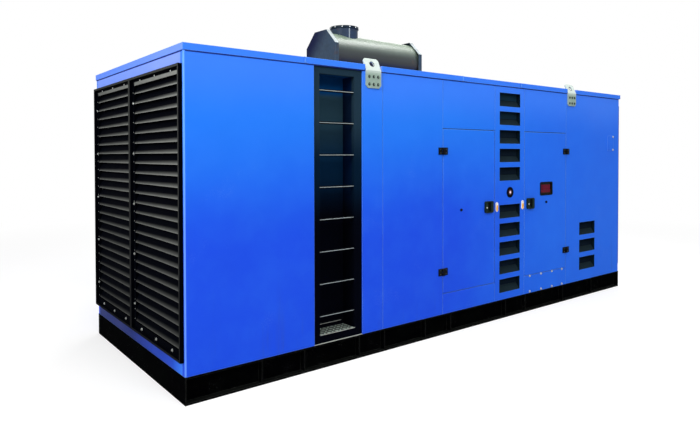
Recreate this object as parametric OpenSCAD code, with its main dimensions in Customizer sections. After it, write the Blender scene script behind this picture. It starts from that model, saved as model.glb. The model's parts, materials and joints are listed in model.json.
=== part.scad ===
// Canopied generator set on a steel skid.
// x runs from the louvred near end to the far end, y from the door side to
// the back, z up. Modules measure from the corner of the near end and the
// door side; in_frame() moves them so that the origin is on the ground under
// the middle of the skid.

/* [Canopy] */
// Length over the canopy walls
body_l = 6000; // [5950:10:8000]
// Width over the canopy walls
body_w = 2140; // [1700:10:2700]
// Height of the roof above the ground
body_h = 2530; // [2500:10:3200]
// Thickness of the insulated wall panels
wall_t = 50; // [46:1:62]
// Radius of the upright outer corners
corner_r = 14; // [4:1:25]
// Open joint between neighbouring wall panels and roof sections
seam_gap = 3; // [1:0.5:4]

/* [Roof] */
// Depth of the roof sections' edge
cap_t = 50; // [40:2:70]
// Overhang of the first and third roof sections
cap_low_out = 5; // [2:1:8]
// Overhang of the second and fourth roof sections
cap_high_out = 10; // [9:1:12]
// Roof joints, from the near end
roof_joints = [1005, 2891, 3842]; // [600:1:4600]
// Cut at the lower corner of a raised section's edge
cap_corner_cut = 24; // [5:1:35]

/* [Skid] */
// Height of the skid
skid_h = 200; // [160:10:300]
// Width of the rail flanges
rail_flange_w = 90; // [80:5:120]
// Thickness of the rail flanges
rail_flange_t = 14; // [10:1:18]
// Distance from the rail's outer edge to its web
rail_web_in = 54; // [40:2:60]
// Thickness of webs, stiffeners and end plates
skid_plate_t = 10; // [6:1:14]
// Places of the first four web stiffeners
stiffeners_near = [614, 1000, 1567, 1857]; // [200:1:2000]
// Places of the middle three web stiffeners
stiffeners_mid = [2373, 2727, 3596]; // [2100:1:3700]
// Places of the last three web stiffeners
stiffeners_far = [3948, 4693, 5330]; // [3800:1:5700]
// Number of cross beams under the floor
cross_beams = 6; // [3:1:8]
// Flange width of a cross beam
cross_beam_w = 90; // [60:5:120]
// Thickness of the floor plate
floor_t = 6; // [4:1:10]

/* [Door side bays] */
// Near edge of the ladder recess frame
recess_x = 1095; // [900:5:1150]
// Width of the ladder recess frame
recess_w = 505; // [450:5:560]
// Width of the panel between the ladder and the next joint
post_w = 231; // [200:1:300]
// Width of the panel before the first door
middle_w = 771; // [600:1:950]
// Width of the first door bay
bay_1_w = 796; // [660:2:960]
// Width of the panel between the doors
vent_panel_w = 511; // [425:1:620]
// Width of the second door bay
bay_2_w = 826; // [680:2:1000]
// Bottom of the doors
door_z = 402; // [380:2:450]
// Height of the doors
door_h = 1598; // [1330:2:1920]
// Gap round a door
door_gap = 6; // [5:0.5:8]
// Depth of a door's outer tray
door_tray_t = 22; // [18:1:27]
// Clearance between a door's tray and the stops behind its edge
stop_gap = 6; // [5:0.5:8]
// Width of the stop behind the edge of a door
stop_w = 18; // [12:1:22]
// Clearance between a door's lining and the stops
lining_gap = 20; // [14:1:26]

/* [Ladder] */
// Width of the frame's near upright
recess_near_w = 63; // [50:1:75]
// Width of the frame's far upright
recess_far_w = 80; // [60:1:95]
// Top of the frame's bottom bar above the skid
recess_sill_h = 66; // [40:2:90]
// Depth of the frame's top bar
recess_head_h = 65; // [50:1:90]
// Setback of the frame from the wall's face
recess_setback = 12; // [6:1:16]
// Depth of the recess from the wall's face to its back sheet
recess_d = 172; // [150:2:260]
// Thickness of the recess sheets
recess_sheet_t = 4; // [3:1:6]
// Pitch of the rungs
rung_pitch = 266; // [250:1:300]
// Height of the first rung above the tread
rung_first_h = 154; // [120:2:200]
// Radius of a rung
rung_r = 11; // [9:0.5:14]
// Height of the lip on the back sheet above the tread
back_lip_h = 44; // [30:2:60]
// Thickness of the tread plate
tread_t = 6; // [4:1:8]

/* [Vents] */
// Width of a vent
vent_w = 354; // [300:2:360]
// Height of a vent in the column
vent_h = 143; // [120:1:150]
// Pitch of the vents in the column
vent_pitch = 198.5; // [192:0.5:205]
// Tops of the column's upper and lower groups
vent_group_tops = [2408, 1213]; // [1100:1:2420]
// Vents in each group of the column
vents_per_group = 5; // [3:1:5]
// Distance from the far end to the nearest edge of the low vents
low_vent_from_end = 603; // [400:1:700]
// Height of a low vent
low_vent_h = 154; // [130:1:170]
// Pitch of the low vents
low_vent_pitch = 215; // [205:1:230]
// Top of the highest low vent
low_vent_top = 915; // [900:1:1400]
// Thickness of the sloped sill plate in a vent
sill_t = 3; // [2:0.5:5]
// Rise of the sloped sill plate
sill_rise = 62; // [40:1:80]
// Distance from the wall's face to the foot of the sloped sill plate
sill_in = 4; // [3:1:6]
// Side clearance of the sloped sill plate
sill_side = 0.3; // [0.2:0.1:0.6]

/* [End louvres] */
// Inset of the louvre frames from the canopy's sides
louvre_side_in = 17; // [12:1:25]
// Bottom of the louvre frames above the skid
louvre_bottom_h = 100; // [80:2:140]
// Top of the louvre frames below the roof
louvre_top_in = 142; // [120:2:200]
// Width of the raised edge round a louvre
louvre_edge_w = 18; // [10:1:24]
// How far the raised edge stands out of the end wall
louvre_out = 30; // [20:1:45]
// Width of the flange at the top and bottom of a louvre
louvre_flange_h = 66; // [50:1:80]
// Width of the flange at the sides of a louvre
louvre_flange_w = 40; // [30:1:60]
// Pitch of the blades
blade_pitch = 81.5; // [70:0.5:100]
// Thickness of the blade sheet
blade_t = 3; // [2:0.5:4]
// Height of a blade's front lip
blade_lip_h = 28; // [20:1:36]
// Depth of a blade
blade_d = 44; // [36:1:44]
// How far a blade's slope rises past the foot of the next blade
blade_overlap = 8.5; // [6:0.5:16]
// Bottom of the first blade above the bottom of the louvre
blade_first_h = 79; // [76:1:90]
// Gap between the two louvre frames of an end
louvre_gap = 2; // [1:0.5:10]

/* [Door furniture] */
// Heights of the hinges' middles
hinge_z = [612, 1785]; // [560:1:1850]
// Height of a hinge
hinge_h = 68; // [60:1:80]
// Reach of a hinge leaf from the pin
hinge_leaf_w = 62; // [45:1:70]
// Thickness of a hinge leaf
hinge_leaf_t = 8; // [5:1:9]
// Distance from the wall's face to the hinge pin
hinge_out = 16; // [15:1:20]
// Radius of a hinge knuckle
knuckle_r = 11; // [9:0.5:12]
// Radius of a hinge pin
hinge_pin_r = 5; // [3:0.5:6]
// Running clearance of hinge and handle pins
pin_clear = 0.05; // [0.02:0.01:0.1]
// Width of a handle housing
handle_w = 127; // [110:1:140]
// Height of a handle housing
handle_h = 120; // [110:1:140]
// Middle of the handles above the ground
handle_z = 1205; // [1100:1:1300]
// Distance from a door's free edge to its handle housing
handle_from_edge = 36; // [30:1:60]
// Depth of a handle housing
handle_d = 22; // [20:1:26]
// Width of the finger grip
grip_w = 44; // [36:1:50]
// Length of the finger grip
grip_l = 66; // [50:1:70]
// Radius of the grip's pin
grip_pin_r = 3; // [2:0.5:3.5]
// Window: middle from the second bay's near edge
window_x = 419; // [380:1:450]
// Window: middle above the ground
window_z = 1360; // [1320:1:1500]
// Window: width and height over the rim
window_size = [245, 153]; // [120:1:300]
// Radius of a door buffer
buffer_r = 13; // [8:1:20]
// Height of a door buffer
buffer_h = 16; // [10:1:20]

/* [Stop button] */
// Middle of the stop button above the ground
stop_button_z = 1344; // [1320:1:1360]
// Outer radius of the ring round it
guard_r = 57; // [45:1:60]
// Thickness of the ring, over the wall
guard_d = 5; // [3:0.5:8]
// Depth of the cup behind the ring
guard_cup_d = 24; // [20:1:28]
// Travel of the button
stop_travel = 6; // [4:0.5:8]

/* [Lifting lugs] */
// Distance from the ladder recess to the near lugs
lug_from_recess = 34; // [10:1:60]
// Middle of the far lugs from the far end
lug_far_in = 1150; // [1040:1:1170]
// Width of a lug
lug_w = 172; // [150:1:178]
// Thickness of a lug
lug_t = 12; // [8:1:14]
// Length of the upright part below the bend
lug_plate_h = 153; // [110:1:180]
// Length of the leaning part
lug_lean_l = 120; // [110:1:140]
// Lean of the upper part
lug_lean = 24; // [15:1:28]
// Radius of the leaning part's top corners
lug_top_r = 38; // [20:1:50]
// Radius of the shackle hole
lug_hole_r = 23; // [16:0.5:28]
// Distance from the bend to the middle of the shackle hole
lug_hole_h = 64; // [55:1:75]
// Cut at the lug's lower corners
lug_cut = 34; // [10:1:40]
// Depth of the notch in the roof behind a lug
lug_notch_d = 46; // [40:1:60]
// Side gap of the notch
lug_notch_side = 8; // [5:1:15]

/* [Silencer] */
// Near end plate of the silencer from the near end
silencer_x = 1920; // [1800:5:2600]
// Length over the end plates
silencer_l = 1220; // [1000:10:2000]
// Radius of the drum
drum_r = 240; // [200:5:260]
// Thickness of the drum's shell
drum_t = 4; // [3:1:6]
// Distance from the drum to the edge of an end plate
plate_margin = 15; // [10:1:40]
// Gap between the drum and the plates' rims, at the slanted corners
plate_corner_gap = 7; // [1:0.5:12]
// Depth of an end plate's folded rim
plate_rim_d = 46; // [30:1:60]
// Thickness of an end plate
plate_t = 6; // [4:1:8]
// Middle of the outlet from the near end plate
outlet_in = 310; // [250:5:500]
// Outer radius of the outlet
outlet_r = 146; // [100:1:150]
// Wall of the outlet
outlet_t = 10; // [4:1:14]
// Height of the outlet above the drum
outlet_h = 85; // [60:1:140]
// Outer radius of the outlet's top ring
outlet_ring_r = 154; // [152:1:165]
// Height of the outlet's top ring
outlet_ring_h = 26; // [12:1:30]

/* [Small covers] */
// Middle of the bolted cover from the far end
cover_from_end = 225; // [200:1:400]
// Middle of the bolted cover above the ground
cover_z = 1894; // [1800:1:2000]
// Width and height of the bolted cover
cover_size = [150, 198]; // [100:1:220]
// Thickness of the bolted cover
cover_t = 4; // [2:1:6]
// Width and height of a marker plate beside a handle
marker_size = [42, 100]; // [30:1:110]
// Thickness of a marker plate
marker_t = 4; // [2:1:6]
// Middle of a marker plate from the edge of the vent panel
marker_in = 31; // [28:1:40]

/* [Hidden] */

$fn = 48;
eps = 0.01;

paint_blue = [0.13, 0.38, 0.93];
skid_black = [0.06, 0.06, 0.07];
trim_black = [0.09, 0.09, 0.10];
silencer_grey = [0.30, 0.33, 0.34];
plate_grey = [0.72, 0.76, 0.72];

wall_top = body_h - cap_t;
wall_h = wall_top - skid_h;
recess_end = recess_x + recess_w;
post_joint_x = recess_end + post_w;
bay_1_x = post_joint_x + seam_gap + middle_w;
bay_1_end = bay_1_x + bay_1_w;
vent_panel_x = bay_1_end + seam_gap;
bay_2_x = vent_panel_x + vent_panel_w + seam_gap;
bay_2_end = bay_2_x + bay_2_w;
stop_in = door_tray_t + stop_gap;
door_lining_in = stop_w - door_gap + lining_gap;
vent_mid_x = vent_panel_x + vent_panel_w / 2;
door_top = door_z + door_h;
recess_in_x = recess_x + recess_near_w;
recess_in_w = recess_w - recess_near_w - recess_far_w;
recess_floor = skid_h + recess_sill_h;
recess_ceiling = wall_top - recess_head_h;
rung_y = recess_setback + (wall_t - recess_setback) / 2;
rung_room = recess_ceiling - recess_floor - rung_first_h - 2 * rung_r;
rungs = floor(rung_room / rung_pitch) + 1;
low_vent_x = body_l - low_vent_from_end - vent_w;
louvre_z = skid_h + louvre_bottom_h;
louvre_h = body_h - louvre_top_in - louvre_z;
louvre_w = (body_w - 2 * louvre_side_in - louvre_gap) / 2;
hinge_third = (hinge_h - 2) / 3;
louvre_sheet_t = 4;
louvre_strip_t = 5;
blade_rise = blade_pitch + blade_overlap;
grip_back = 3;
grip_side = 5;
grip_t = 8;
grip_barrel_r = 6;
drum_foot_gap = 1;
drum_z = body_h + plate_t + drum_foot_gap + drum_r;
plate_half_w = drum_r + plate_margin;
plate_cut = 2 * plate_half_w - sqrt(2) * (drum_r + plate_t + plate_corner_gap);
silencer_y = body_w / 2;
outlet_x = silencer_x + outlet_in;
lug_bend_up = 3;
lug_round_short = 1.5;
lug_base_z = wall_top + lug_bend_up - lug_plate_h;

// Moves corner-based shapes to the part's own frame.
module in_frame() {
    translate([-body_l / 2, -body_w / 2, 0]) children();
}

// Mirrors door-side shapes to the back.
module at_back() {
    translate([0, body_w, 0]) mirror([0, 1, 0]) children();
}

// Mirrors near-end shapes to the far end.
module at_far_end() {
    translate([body_l, 0, 0]) mirror([1, 0, 0]) children();
}

// Flat shape in the x-z plane, thickened from y to y + depth.
module upright(y, depth) {
    translate([0, y + depth, 0]) rotate([90, 0, 0]) linear_extrude(depth) children();
}

// Rectangle with round corners, centred.
module round_rect(size, r) {
    w = size[0] - 2 * r;
    h = size[1] - 2 * r;
    union() {
        square([size[0], h], center = true);
        square([w, size[1]], center = true);
        for (sx = [-1, 1], sy = [-1, 1])
            translate([sx * w / 2, sy * h / 2]) circle(r);
    }
}

/* Skid */

module skid_rail() {
    color(skid_black) {
        length = body_l - 2 * skid_plate_t;
        translate([skid_plate_t, 0, 0]) union() {
            cube([length, rail_flange_w, rail_flange_t]);
            translate([0, 0, skid_h - rail_flange_t])
                cube([length, rail_flange_w, rail_flange_t]);
            translate([0, rail_web_in, 0]) cube([length, skid_plate_t, skid_h]);
            for (x = concat(stiffeners_near, stiffeners_mid, stiffeners_far))
                translate([x - skid_plate_t * 1.5, 3, 0])
                    cube([skid_plate_t, rail_web_in, skid_h]);
        }
    }
}

module skid_cross_members() {
    color(skid_black) {
        cube([skid_plate_t, body_w, skid_h]);
        at_far_end() cube([skid_plate_t, body_w, skid_h]);
        run = body_w - 2 * (rail_web_in + skid_plate_t);
        spacing = body_l / (cross_beams + 1);
        for (i = [1:cross_beams])
            translate([i * spacing, rail_web_in + skid_plate_t, 0]) cross_beam(run);
    }
}

// Beam of I section along y, between the rails' flanges.
module cross_beam(run) {
    inner_h = skid_h - 2 * rail_flange_t;
    side = rail_flange_w - rail_web_in - skid_plate_t;
    union() {
        translate([-skid_plate_t / 2, 0, rail_flange_t]) cube([skid_plate_t, run, inner_h]);
        for (z = [0, skid_h - rail_flange_t])
            translate([-cross_beam_w / 2, side, z])
                cube([cross_beam_w, run - 2 * side, rail_flange_t]);
    }
}

module floor_deck() {
    color(skid_black)
        translate([wall_t, wall_t, skid_h])
            cube([body_l - 2 * wall_t, body_w - 2 * wall_t, floor_t]);
}

/* Walls */

// Plain wall panel between two places along the door side.
module wall_panel(x0, x1) {
    translate([x0, 0, skid_h]) cube([x1 - x0, wall_t, wall_h]);
}

// Wall panel with the canopy's rounded corner at its near end.
module corner_panel(x1) {
    translate([0, 0, skid_h]) linear_extrude(wall_h) union() {
        translate([corner_r, 0]) square([x1 - corner_r, wall_t]);
        translate([0, corner_r]) square([corner_r + eps, wall_t - corner_r]);
        intersection() {
            translate([corner_r, corner_r]) circle(corner_r);
            square([corner_r + eps, corner_r + eps]);
        }
    }
}

// Stop strip beside a doorway, behind the edge of the door.
module side_stop(x, toward) {
    translate([toward > 0 ? x : x - stop_w, stop_in, door_z - door_gap])
        cube([stop_w, wall_t - stop_in, door_h + 2 * door_gap]);
}

module front_panel_left() {
    color(paint_blue) corner_panel(recess_x);
}

module front_panel_post() {
    color(paint_blue) wall_panel(recess_end, post_joint_x);
}

module front_panel_middle() {
    color(paint_blue) union() {
        wall_panel(post_joint_x + seam_gap, bay_1_x);
        side_stop(bay_1_x, 1);
    }
}

module front_panel_right() {
    color(paint_blue) union() {
        difference() {
            at_far_end() corner_panel(body_l - bay_2_end);
            low_vent_cuts();
        }
        side_stop(bay_2_end, -1);
    }
}

// Header and sill of one door bay, each with its stop.
module bay_surround(x, w) {
    header_z = door_top + door_gap;
    sill_top = door_z - door_gap;
    slide = seam_gap;
    union() {
        translate([x + slide, 0, header_z]) cube([w - slide, wall_t, wall_top - header_z]);
        translate([x + stop_w + slide, stop_in, header_z - stop_w])
            cube([w - 2 * stop_w - 2 * slide, wall_t - stop_in, stop_w + eps]);
    }
    union() {
        translate([x + slide, 0, skid_h]) cube([w - slide, wall_t, sill_top - skid_h]);
        translate([x + stop_w + slide, stop_in, sill_top - eps])
            cube([w - 2 * stop_w - 2 * slide, wall_t - stop_in, stop_w]);
    }
}

module door_surrounds() {
    color(paint_blue) {
        bay_surround(bay_1_x, bay_1_w);
        bay_surround(bay_2_x - seam_gap, bay_2_w);
    }
}

// Panel between the doors, with the stops of both doorways.
module between_doors() {
    union() {
        wall_panel(vent_panel_x, vent_panel_x + vent_panel_w);
        side_stop(vent_panel_x, -1);
        side_stop(vent_panel_x + vent_panel_w, 1);
    }
}

module front_vent_panel() {
    color(paint_blue) difference() {
        between_doors();
        for (top = vent_group_tops, i = [0:vents_per_group - 1])
            vent_cut(vent_mid_x - vent_w / 2, top - i * vent_pitch, vent_h);
        stop_button_hole();
    }
}

module back_panel_middle() {
    color(paint_blue) at_back() between_doors();
}

// Hole through the wall for one vent, given its near edge and its top.
module vent_cut(x, top, h) {
    translate([x, -1, top - h]) cube([vent_w, wall_t + 2, h]);
}

module low_vent_cuts() {
    for (i = [0:2]) vent_cut(low_vent_x, low_vent_top - i * low_vent_pitch, low_vent_h);
}

// Sloped sheet that sheds rain from one vent.
module vent_sill(x, top, h) {
    lift = atan(sill_rise / (wall_t - sill_in));
    length = (wall_t - sill_in) / cos(lift);
    translate([x + sill_side, sill_in, top - h])
        rotate([lift, 0, 0]) cube([vent_w - 2 * sill_side, length, sill_t]);
}

module vent_sills() {
    color(trim_black) {
        for (top = vent_group_tops, i = [0:vents_per_group - 1])
            vent_sill(vent_mid_x - vent_w / 2, top - i * vent_pitch, vent_h);
        for (i = [0:2]) vent_sill(low_vent_x, low_vent_top - i * low_vent_pitch, low_vent_h);
    }
}

module back_panel_left() {
    color(paint_blue) at_back() union() {
        corner_panel(bay_1_x);
        side_stop(bay_1_x, 1);
    }
}

module back_panel_right() {
    color(paint_blue) at_back() union() {
        at_far_end() corner_panel(body_l - bay_2_end);
        side_stop(bay_2_end, -1);
    }
}

// Rails of both end walls, above and below the louvres.
module end_rails() {
    color(paint_blue) {
        near_end_rails();
        at_far_end() near_end_rails();
    }
}

module near_end_rails() {
    run = body_w - 2 * wall_t;
    translate([0, wall_t, skid_h]) cube([wall_t, run, louvre_bottom_h]);
    translate([0, wall_t, louvre_z + louvre_h])
        cube([wall_t, run, wall_top - louvre_z - louvre_h]);
}

// Posts of both end walls, beside the louvres.
module end_posts() {
    color(paint_blue) {
        near_end_posts();
        at_far_end() near_end_posts();
    }
}

module near_end_posts() {
    w = louvre_side_in + louvre_edge_w + louvre_flange_w - louvre_strip_t - wall_t;
    for (y = [wall_t, body_w - wall_t - w]) translate([0, y, louvre_z]) cube([wall_t, w, louvre_h]);
}

/* End louvres */

module louvre_pair() {
    color(trim_black) {
        translate([0, louvre_side_in, 0]) louvre();
        translate([0, louvre_side_in + louvre_w + louvre_gap, 0]) louvre();
    }
}

// One louvre: raised edge, flange, side strips and sloped blades.
module louvre() {
    edge = louvre_edge_w;
    inner_w = louvre_w - 2 * edge;
    inner_h = louvre_h - 2 * edge;
    open_y = edge + louvre_flange_w;
    open_w = louvre_w - 2 * open_y;
    open_h = louvre_h - 2 * louvre_flange_h;
    blades = floor((louvre_h - louvre_flange_h - blade_first_h - blade_lip_h) / blade_pitch) + 1;
    union() {
        difference() {
            translate([-louvre_out, 0, louvre_z]) cube([louvre_out, louvre_w, louvre_h]);
            translate([-louvre_out - 1, edge, louvre_z + edge])
                cube([louvre_out + 2, inner_w, inner_h]);
        }
        difference() {
            translate([-louvre_sheet_t, edge - eps, louvre_z + edge - eps])
                cube([louvre_sheet_t, inner_w + 2 * eps, inner_h + 2 * eps]);
            translate([-louvre_sheet_t - 1, open_y, louvre_z + louvre_flange_h])
                cube([louvre_sheet_t + 2, open_w, open_h]);
        }
        for (y = [open_y - louvre_strip_t, louvre_w - open_y])
            translate([-louvre_sheet_t, y, louvre_z + edge])
                cube([blade_d + louvre_sheet_t, louvre_strip_t, inner_h]);
        for (i = [0:blades - 1])
            translate([-louvre_sheet_t, open_y - eps, louvre_z + blade_first_h + i * blade_pitch])
                blade(open_w + 2 * eps);
    }
}

// Blade along y: an almost upright front lip, then a slope up and inward
// that hides the next gap.
module blade(run) {
    lean = blade_lip_h / 3;
    translate([0, run, 0]) rotate([90, 0, 0]) linear_extrude(run)
        polygon([
            [0, 0], [blade_t, 0], [lean + blade_t, blade_lip_h],
            [blade_d + blade_t, blade_rise], [blade_d, blade_rise], [lean, blade_lip_h]
        ]);
}

/* Roof */

function roof_x0(i) = i == 0 ? 0 : roof_joints[i - 1] + seam_gap / 2;
function roof_x1(i) = i == 3 ? body_l : roof_joints[i] - seam_gap / 2;

// One roof section; even sections stand a little proud at the sides.
module roof_panel(i) {
    out = i % 2 == 0 ? cap_low_out : cap_high_out;
    x0 = roof_x0(i) - (i == 0 ? out : 0);
    x1 = roof_x1(i) + (i == 3 ? out : 0);
    color(paint_blue) difference() {
        translate([x0, -out, wall_top]) cube([x1 - x0, body_w + 2 * out, cap_t]);
        lug_notches();
        if (i % 2 == 1)
            for (x = i == 1 ? [x0, x1] : [x0], side = [0, 1])
                translate([x, side == 0 ? -out / 2 - 1 : body_w + out / 2 + 1, wall_top])
                    rotate([0, 45, 0])
                        cube([cap_corner_cut, out + 2, cap_corner_cut], center = true);
    }
}

/* Lifting lugs */

function lug_places() = [recess_end + lug_from_recess + lug_w / 2, body_l - lug_far_in];

module lug_notches() {
    w = lug_w + 2 * lug_notch_side;
    for (x = lug_places(), y = [-20, body_w - lug_notch_d])
        translate([x - w / 2, y, wall_top - 1]) cube([w, lug_notch_d + 20, cap_t + 2]);
}

// Bent plate bolted to the wall, with a round hole in its leaning part.
module lug() {
    difference() {
        translate([-lug_w / 2, 0, 0]) rotate([90, 0, 90]) linear_extrude(lug_w) lug_profile();
        lug_corner_cuts();
        translate([0, -lug_t, lug_base_z + lug_plate_h]) rotate([-lug_lean, 0, 0]) {
            for (side = [0, 1]) mirror([side, 0, 0]) lug_corner_round();
            translate([0, -1, lug_hole_h])
                rotate([-90, 0, 0]) cylinder(r = lug_hole_r, h = lug_t + 2);
        }
    }
}

// Side view of the bent plate, mitred at the bend.
module lug_profile() {
    bend = lug_base_z + lug_plate_h;
    tip = [lug_lean_l * sin(lug_lean) - lug_t, bend + lug_lean_l * cos(lug_lean)];
    polygon([
        [0, lug_base_z], [-lug_t, lug_base_z], [-lug_t, bend], tip,
        tip + lug_t * [cos(lug_lean), -sin(lug_lean)], [0, bend - lug_t * tan(lug_lean / 2)]
    ]);
}

// What is cut away outside the round of a top corner. The round meets the
// edges at a slight angle, so that no sliver is left.
module lug_corner_round() {
    r = lug_top_r;
    in = r - lug_round_short;
    translate([lug_w / 2 - in, -1, lug_lean_l - in]) rotate([-90, 0, 0]) mirror([0, 1, 0])
        linear_extrude(lug_t + 2) difference() {
            square(r + 1);
            circle(r);
        }
}

// Small cuts at the lug's lower corners.
module lug_corner_cuts() {
    for (side = [-1, 1])
        translate([side * lug_w / 2, -lug_t / 2, lug_base_z])
            rotate([0, 45, 0]) cube([lug_cut, lug_t + 2, lug_cut], center = true);
}

module lifting_lugs() {
    color(plate_grey) {
        for (x = lug_places()) {
            translate([x, 0, 0]) lug();
            at_back() translate([x, 0, 0]) lug();
        }
    }
}

/* Silencer */

module silencer_drum() {
    color(silencer_grey)
        translate([silencer_x + plate_t, silencer_y, drum_z])
            rotate([0, 90, 0]) difference() {
                length = silencer_l - 2 * plate_t;
                cylinder(r = drum_r, h = length, $fn = 96);
                translate([0, 0, -1]) cylinder(r = drum_r - drum_t, h = length + 2, $fn = 96);
                translate([-drum_r - 20, 0, outlet_in - plate_t])
                    rotate([0, 90, 0]) cylinder(r = outlet_r + 0.4, h = drum_r, $fn = 72);
            }
}

// Outline of an end plate about the drum's middle, standing on the roof.
module plate_outline(grow) {
    w = plate_half_w + grow;
    cut = plate_cut + grow * (2 - sqrt(2));
    foot = body_h - drum_z - grow;
    polygon([[-w, foot], [w, foot], [w, w - cut], [w - cut, w], [cut - w, w], [-w, w - cut]]);
}

module silencer_end_plate() {
    rotate([90, 0, 90]) difference() {
        linear_extrude(plate_rim_d) plate_outline(0);
        translate([0, 0, plate_t]) linear_extrude(plate_rim_d) plate_outline(-plate_t);
    }
}

module silencer_end_plates() {
    color(silencer_grey) {
        translate([silencer_x, silencer_y, drum_z]) silencer_end_plate();
        translate([silencer_x + silencer_l, silencer_y, drum_z])
            mirror([1, 0, 0]) silencer_end_plate();
    }
}

module silencer_outlet() {
    base_z = drum_z + sqrt(drum_r * drum_r - outlet_r * outlet_r) - 12;
    top_z = drum_z + drum_r + outlet_h;
    color(silencer_grey)
        translate([outlet_x, silencer_y, base_z]) difference() {
            union() {
                cylinder(r = outlet_r, h = top_z - base_z, $fn = 72);
                translate([0, 0, top_z - base_z - outlet_ring_h])
                    cylinder(r = outlet_ring_r, h = outlet_ring_h, $fn = 72);
            }
            translate([0, 0, -1])
                cylinder(r = outlet_r - outlet_t, h = top_z - base_z + 2, $fn = 72);
        }
}

/* Ladder recess */

module recess_frame() {
    depth = wall_t - recess_setback;
    color(trim_black) difference() {
        translate([recess_x, recess_setback, skid_h]) cube([recess_w, depth, wall_h]);
        translate([recess_in_x, recess_setback - 1, recess_floor])
            cube([recess_in_w, depth + 2, recess_ceiling - recess_floor]);
    }
}

module recess_box() {
    t = recess_sheet_t;
    h = recess_ceiling - recess_floor;
    color(trim_black) union() {
        difference() {
            translate([recess_in_x - t, wall_t, recess_floor - t])
                cube([recess_in_w + 2 * t, recess_d - wall_t + t, h + 2 * t]);
            translate([recess_in_x, wall_t - 1, recess_floor])
                cube([recess_in_w, recess_d - wall_t + 1, h]);
        }
        translate([recess_in_x - eps, recess_d - 8, recess_floor + back_lip_h])
            cube([recess_in_w + 2 * eps, 8 + eps, 10]);
    }
}

module recess_tread() {
    color(plate_grey)
        translate([recess_in_x, recess_setback - 4, recess_floor])
            cube([recess_in_w, recess_d - recess_setback + 4, tread_t]);
}

module ladder_rungs() {
    color(plate_grey)
        for (i = [0:rungs - 1])
            translate([recess_in_x, rung_y, recess_floor + rung_first_h + i * rung_pitch])
                rotate([0, 90, 0]) cylinder(r = rung_r, h = recess_in_w);
}

/* Doors */

// Door leaf between two upright edges, with the lining stepped in.
module door_leaf(x0, x1) {
    w = x1 - x0;
    union() {
        translate([x0, 0, door_z]) cube([w, door_tray_t, door_h]);
        translate([x0 + door_lining_in, door_tray_t - eps, door_z + door_lining_in])
            cube([w - 2 * door_lining_in, wall_t - door_tray_t + eps, door_h - 2 * door_lining_in]);
    }
}

door_1_x0 = bay_1_x + door_gap;
door_1_x1 = bay_1_end - door_gap;
door_2_x0 = bay_2_x + door_gap - seam_gap;
door_2_x1 = bay_2_end - door_gap;
hinge_1_x = bay_1_x + door_gap / 2;
hinge_2_x = bay_2_end - door_gap / 2;
handle_1_x = door_1_x1 - handle_from_edge - handle_w / 2;
handle_2_x = door_2_x0 + handle_from_edge + handle_w / 2;
window_mid_x = bay_2_x + window_x;
window_neck = 10;

module door_left() {
    color(paint_blue) door_leaf(door_1_x0, door_1_x1);
}

module door_right() {
    hole = [window_size[0] - 2 * window_neck, window_size[1] - 2 * window_neck];
    color(paint_blue) difference() {
        door_leaf(door_2_x0, door_2_x1);
        upright(-1, wall_t + 2) translate([window_mid_x, window_z]) round_rect(hole, 12);
    }
}

module window_rim() {
    hole = [window_size[0] - 2 * window_neck - 0.6, window_size[1] - 2 * window_neck - 0.6];
    glass = [hole[0] - 12, hole[1] - 12];
    color(trim_black) difference() {
        union() {
            upright(-5, 5) translate([window_mid_x, window_z]) round_rect(window_size, 20);
            upright(-eps, door_tray_t) translate([window_mid_x, window_z]) round_rect(hole, 11.7);
        }
        upright(-6, wall_t) translate([window_mid_x, window_z]) round_rect(glass, 6);
        upright(6, 5) translate([window_mid_x, window_z])
            round_rect([glass[0] + 6, glass[1] + 6], 6);
    }
}

module window_pane() {
    size = [window_size[0] - 2 * window_neck - 7.2, window_size[1] - 2 * window_neck - 7.2];
    color([0.25, 0.06, 0.05]) upright(6.3, 4.4)
        translate([window_mid_x, window_z]) round_rect(size, 5.7);
}

// Hinge half that stays on the wall, with its pin. The door lies toward +x.
module hinge_post() {
    union() {
        translate([-hinge_leaf_w, -hinge_leaf_t, -hinge_h / 2])
            cube([hinge_leaf_w - knuckle_r - 3, hinge_leaf_t, hinge_h]);
        for (z = [-hinge_h / 2, hinge_h / 2 - hinge_third]) {
            translate([-knuckle_r - 8, -hinge_out, z]) cube([knuckle_r + 8, hinge_out, hinge_third]);
            translate([0, -hinge_out, z]) cylinder(r = knuckle_r, h = hinge_third);
        }
        translate([0, -hinge_out, -hinge_h / 2]) cylinder(r = hinge_pin_r, h = hinge_h);
    }
}

// Hinge half that moves with the door, bored for the pin.
module hinge_leaf() {
    difference() {
        union() {
            translate([knuckle_r + 3, -hinge_leaf_t, -hinge_h / 2])
                cube([hinge_leaf_w - knuckle_r - 3, hinge_leaf_t, hinge_h]);
            translate([0, -hinge_out, -hinge_third / 2])
                cube([knuckle_r + 8, hinge_out, hinge_third]);
            translate([0, -hinge_out, -hinge_third / 2]) cylinder(r = knuckle_r, h = hinge_third);
        }
        translate([0, -hinge_out, -hinge_h]) cylinder(r = hinge_pin_r + pin_clear, h = 2 * hinge_h);
    }
}

// Places hinges on the near edge of the first door.
module at_hinges_1() {
    for (z = hinge_z) translate([hinge_1_x, 0, z]) children();
}

// Places hinges, mirrored, on the far edge of the second door.
module at_hinges_2() {
    for (z = hinge_z) translate([hinge_2_x, 0, z]) mirror([1, 0, 0]) children();
}

module hinge_posts() {
    color(trim_black) {
        at_hinges_1() hinge_post();
        at_hinges_2() hinge_post();
    }
}

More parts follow.
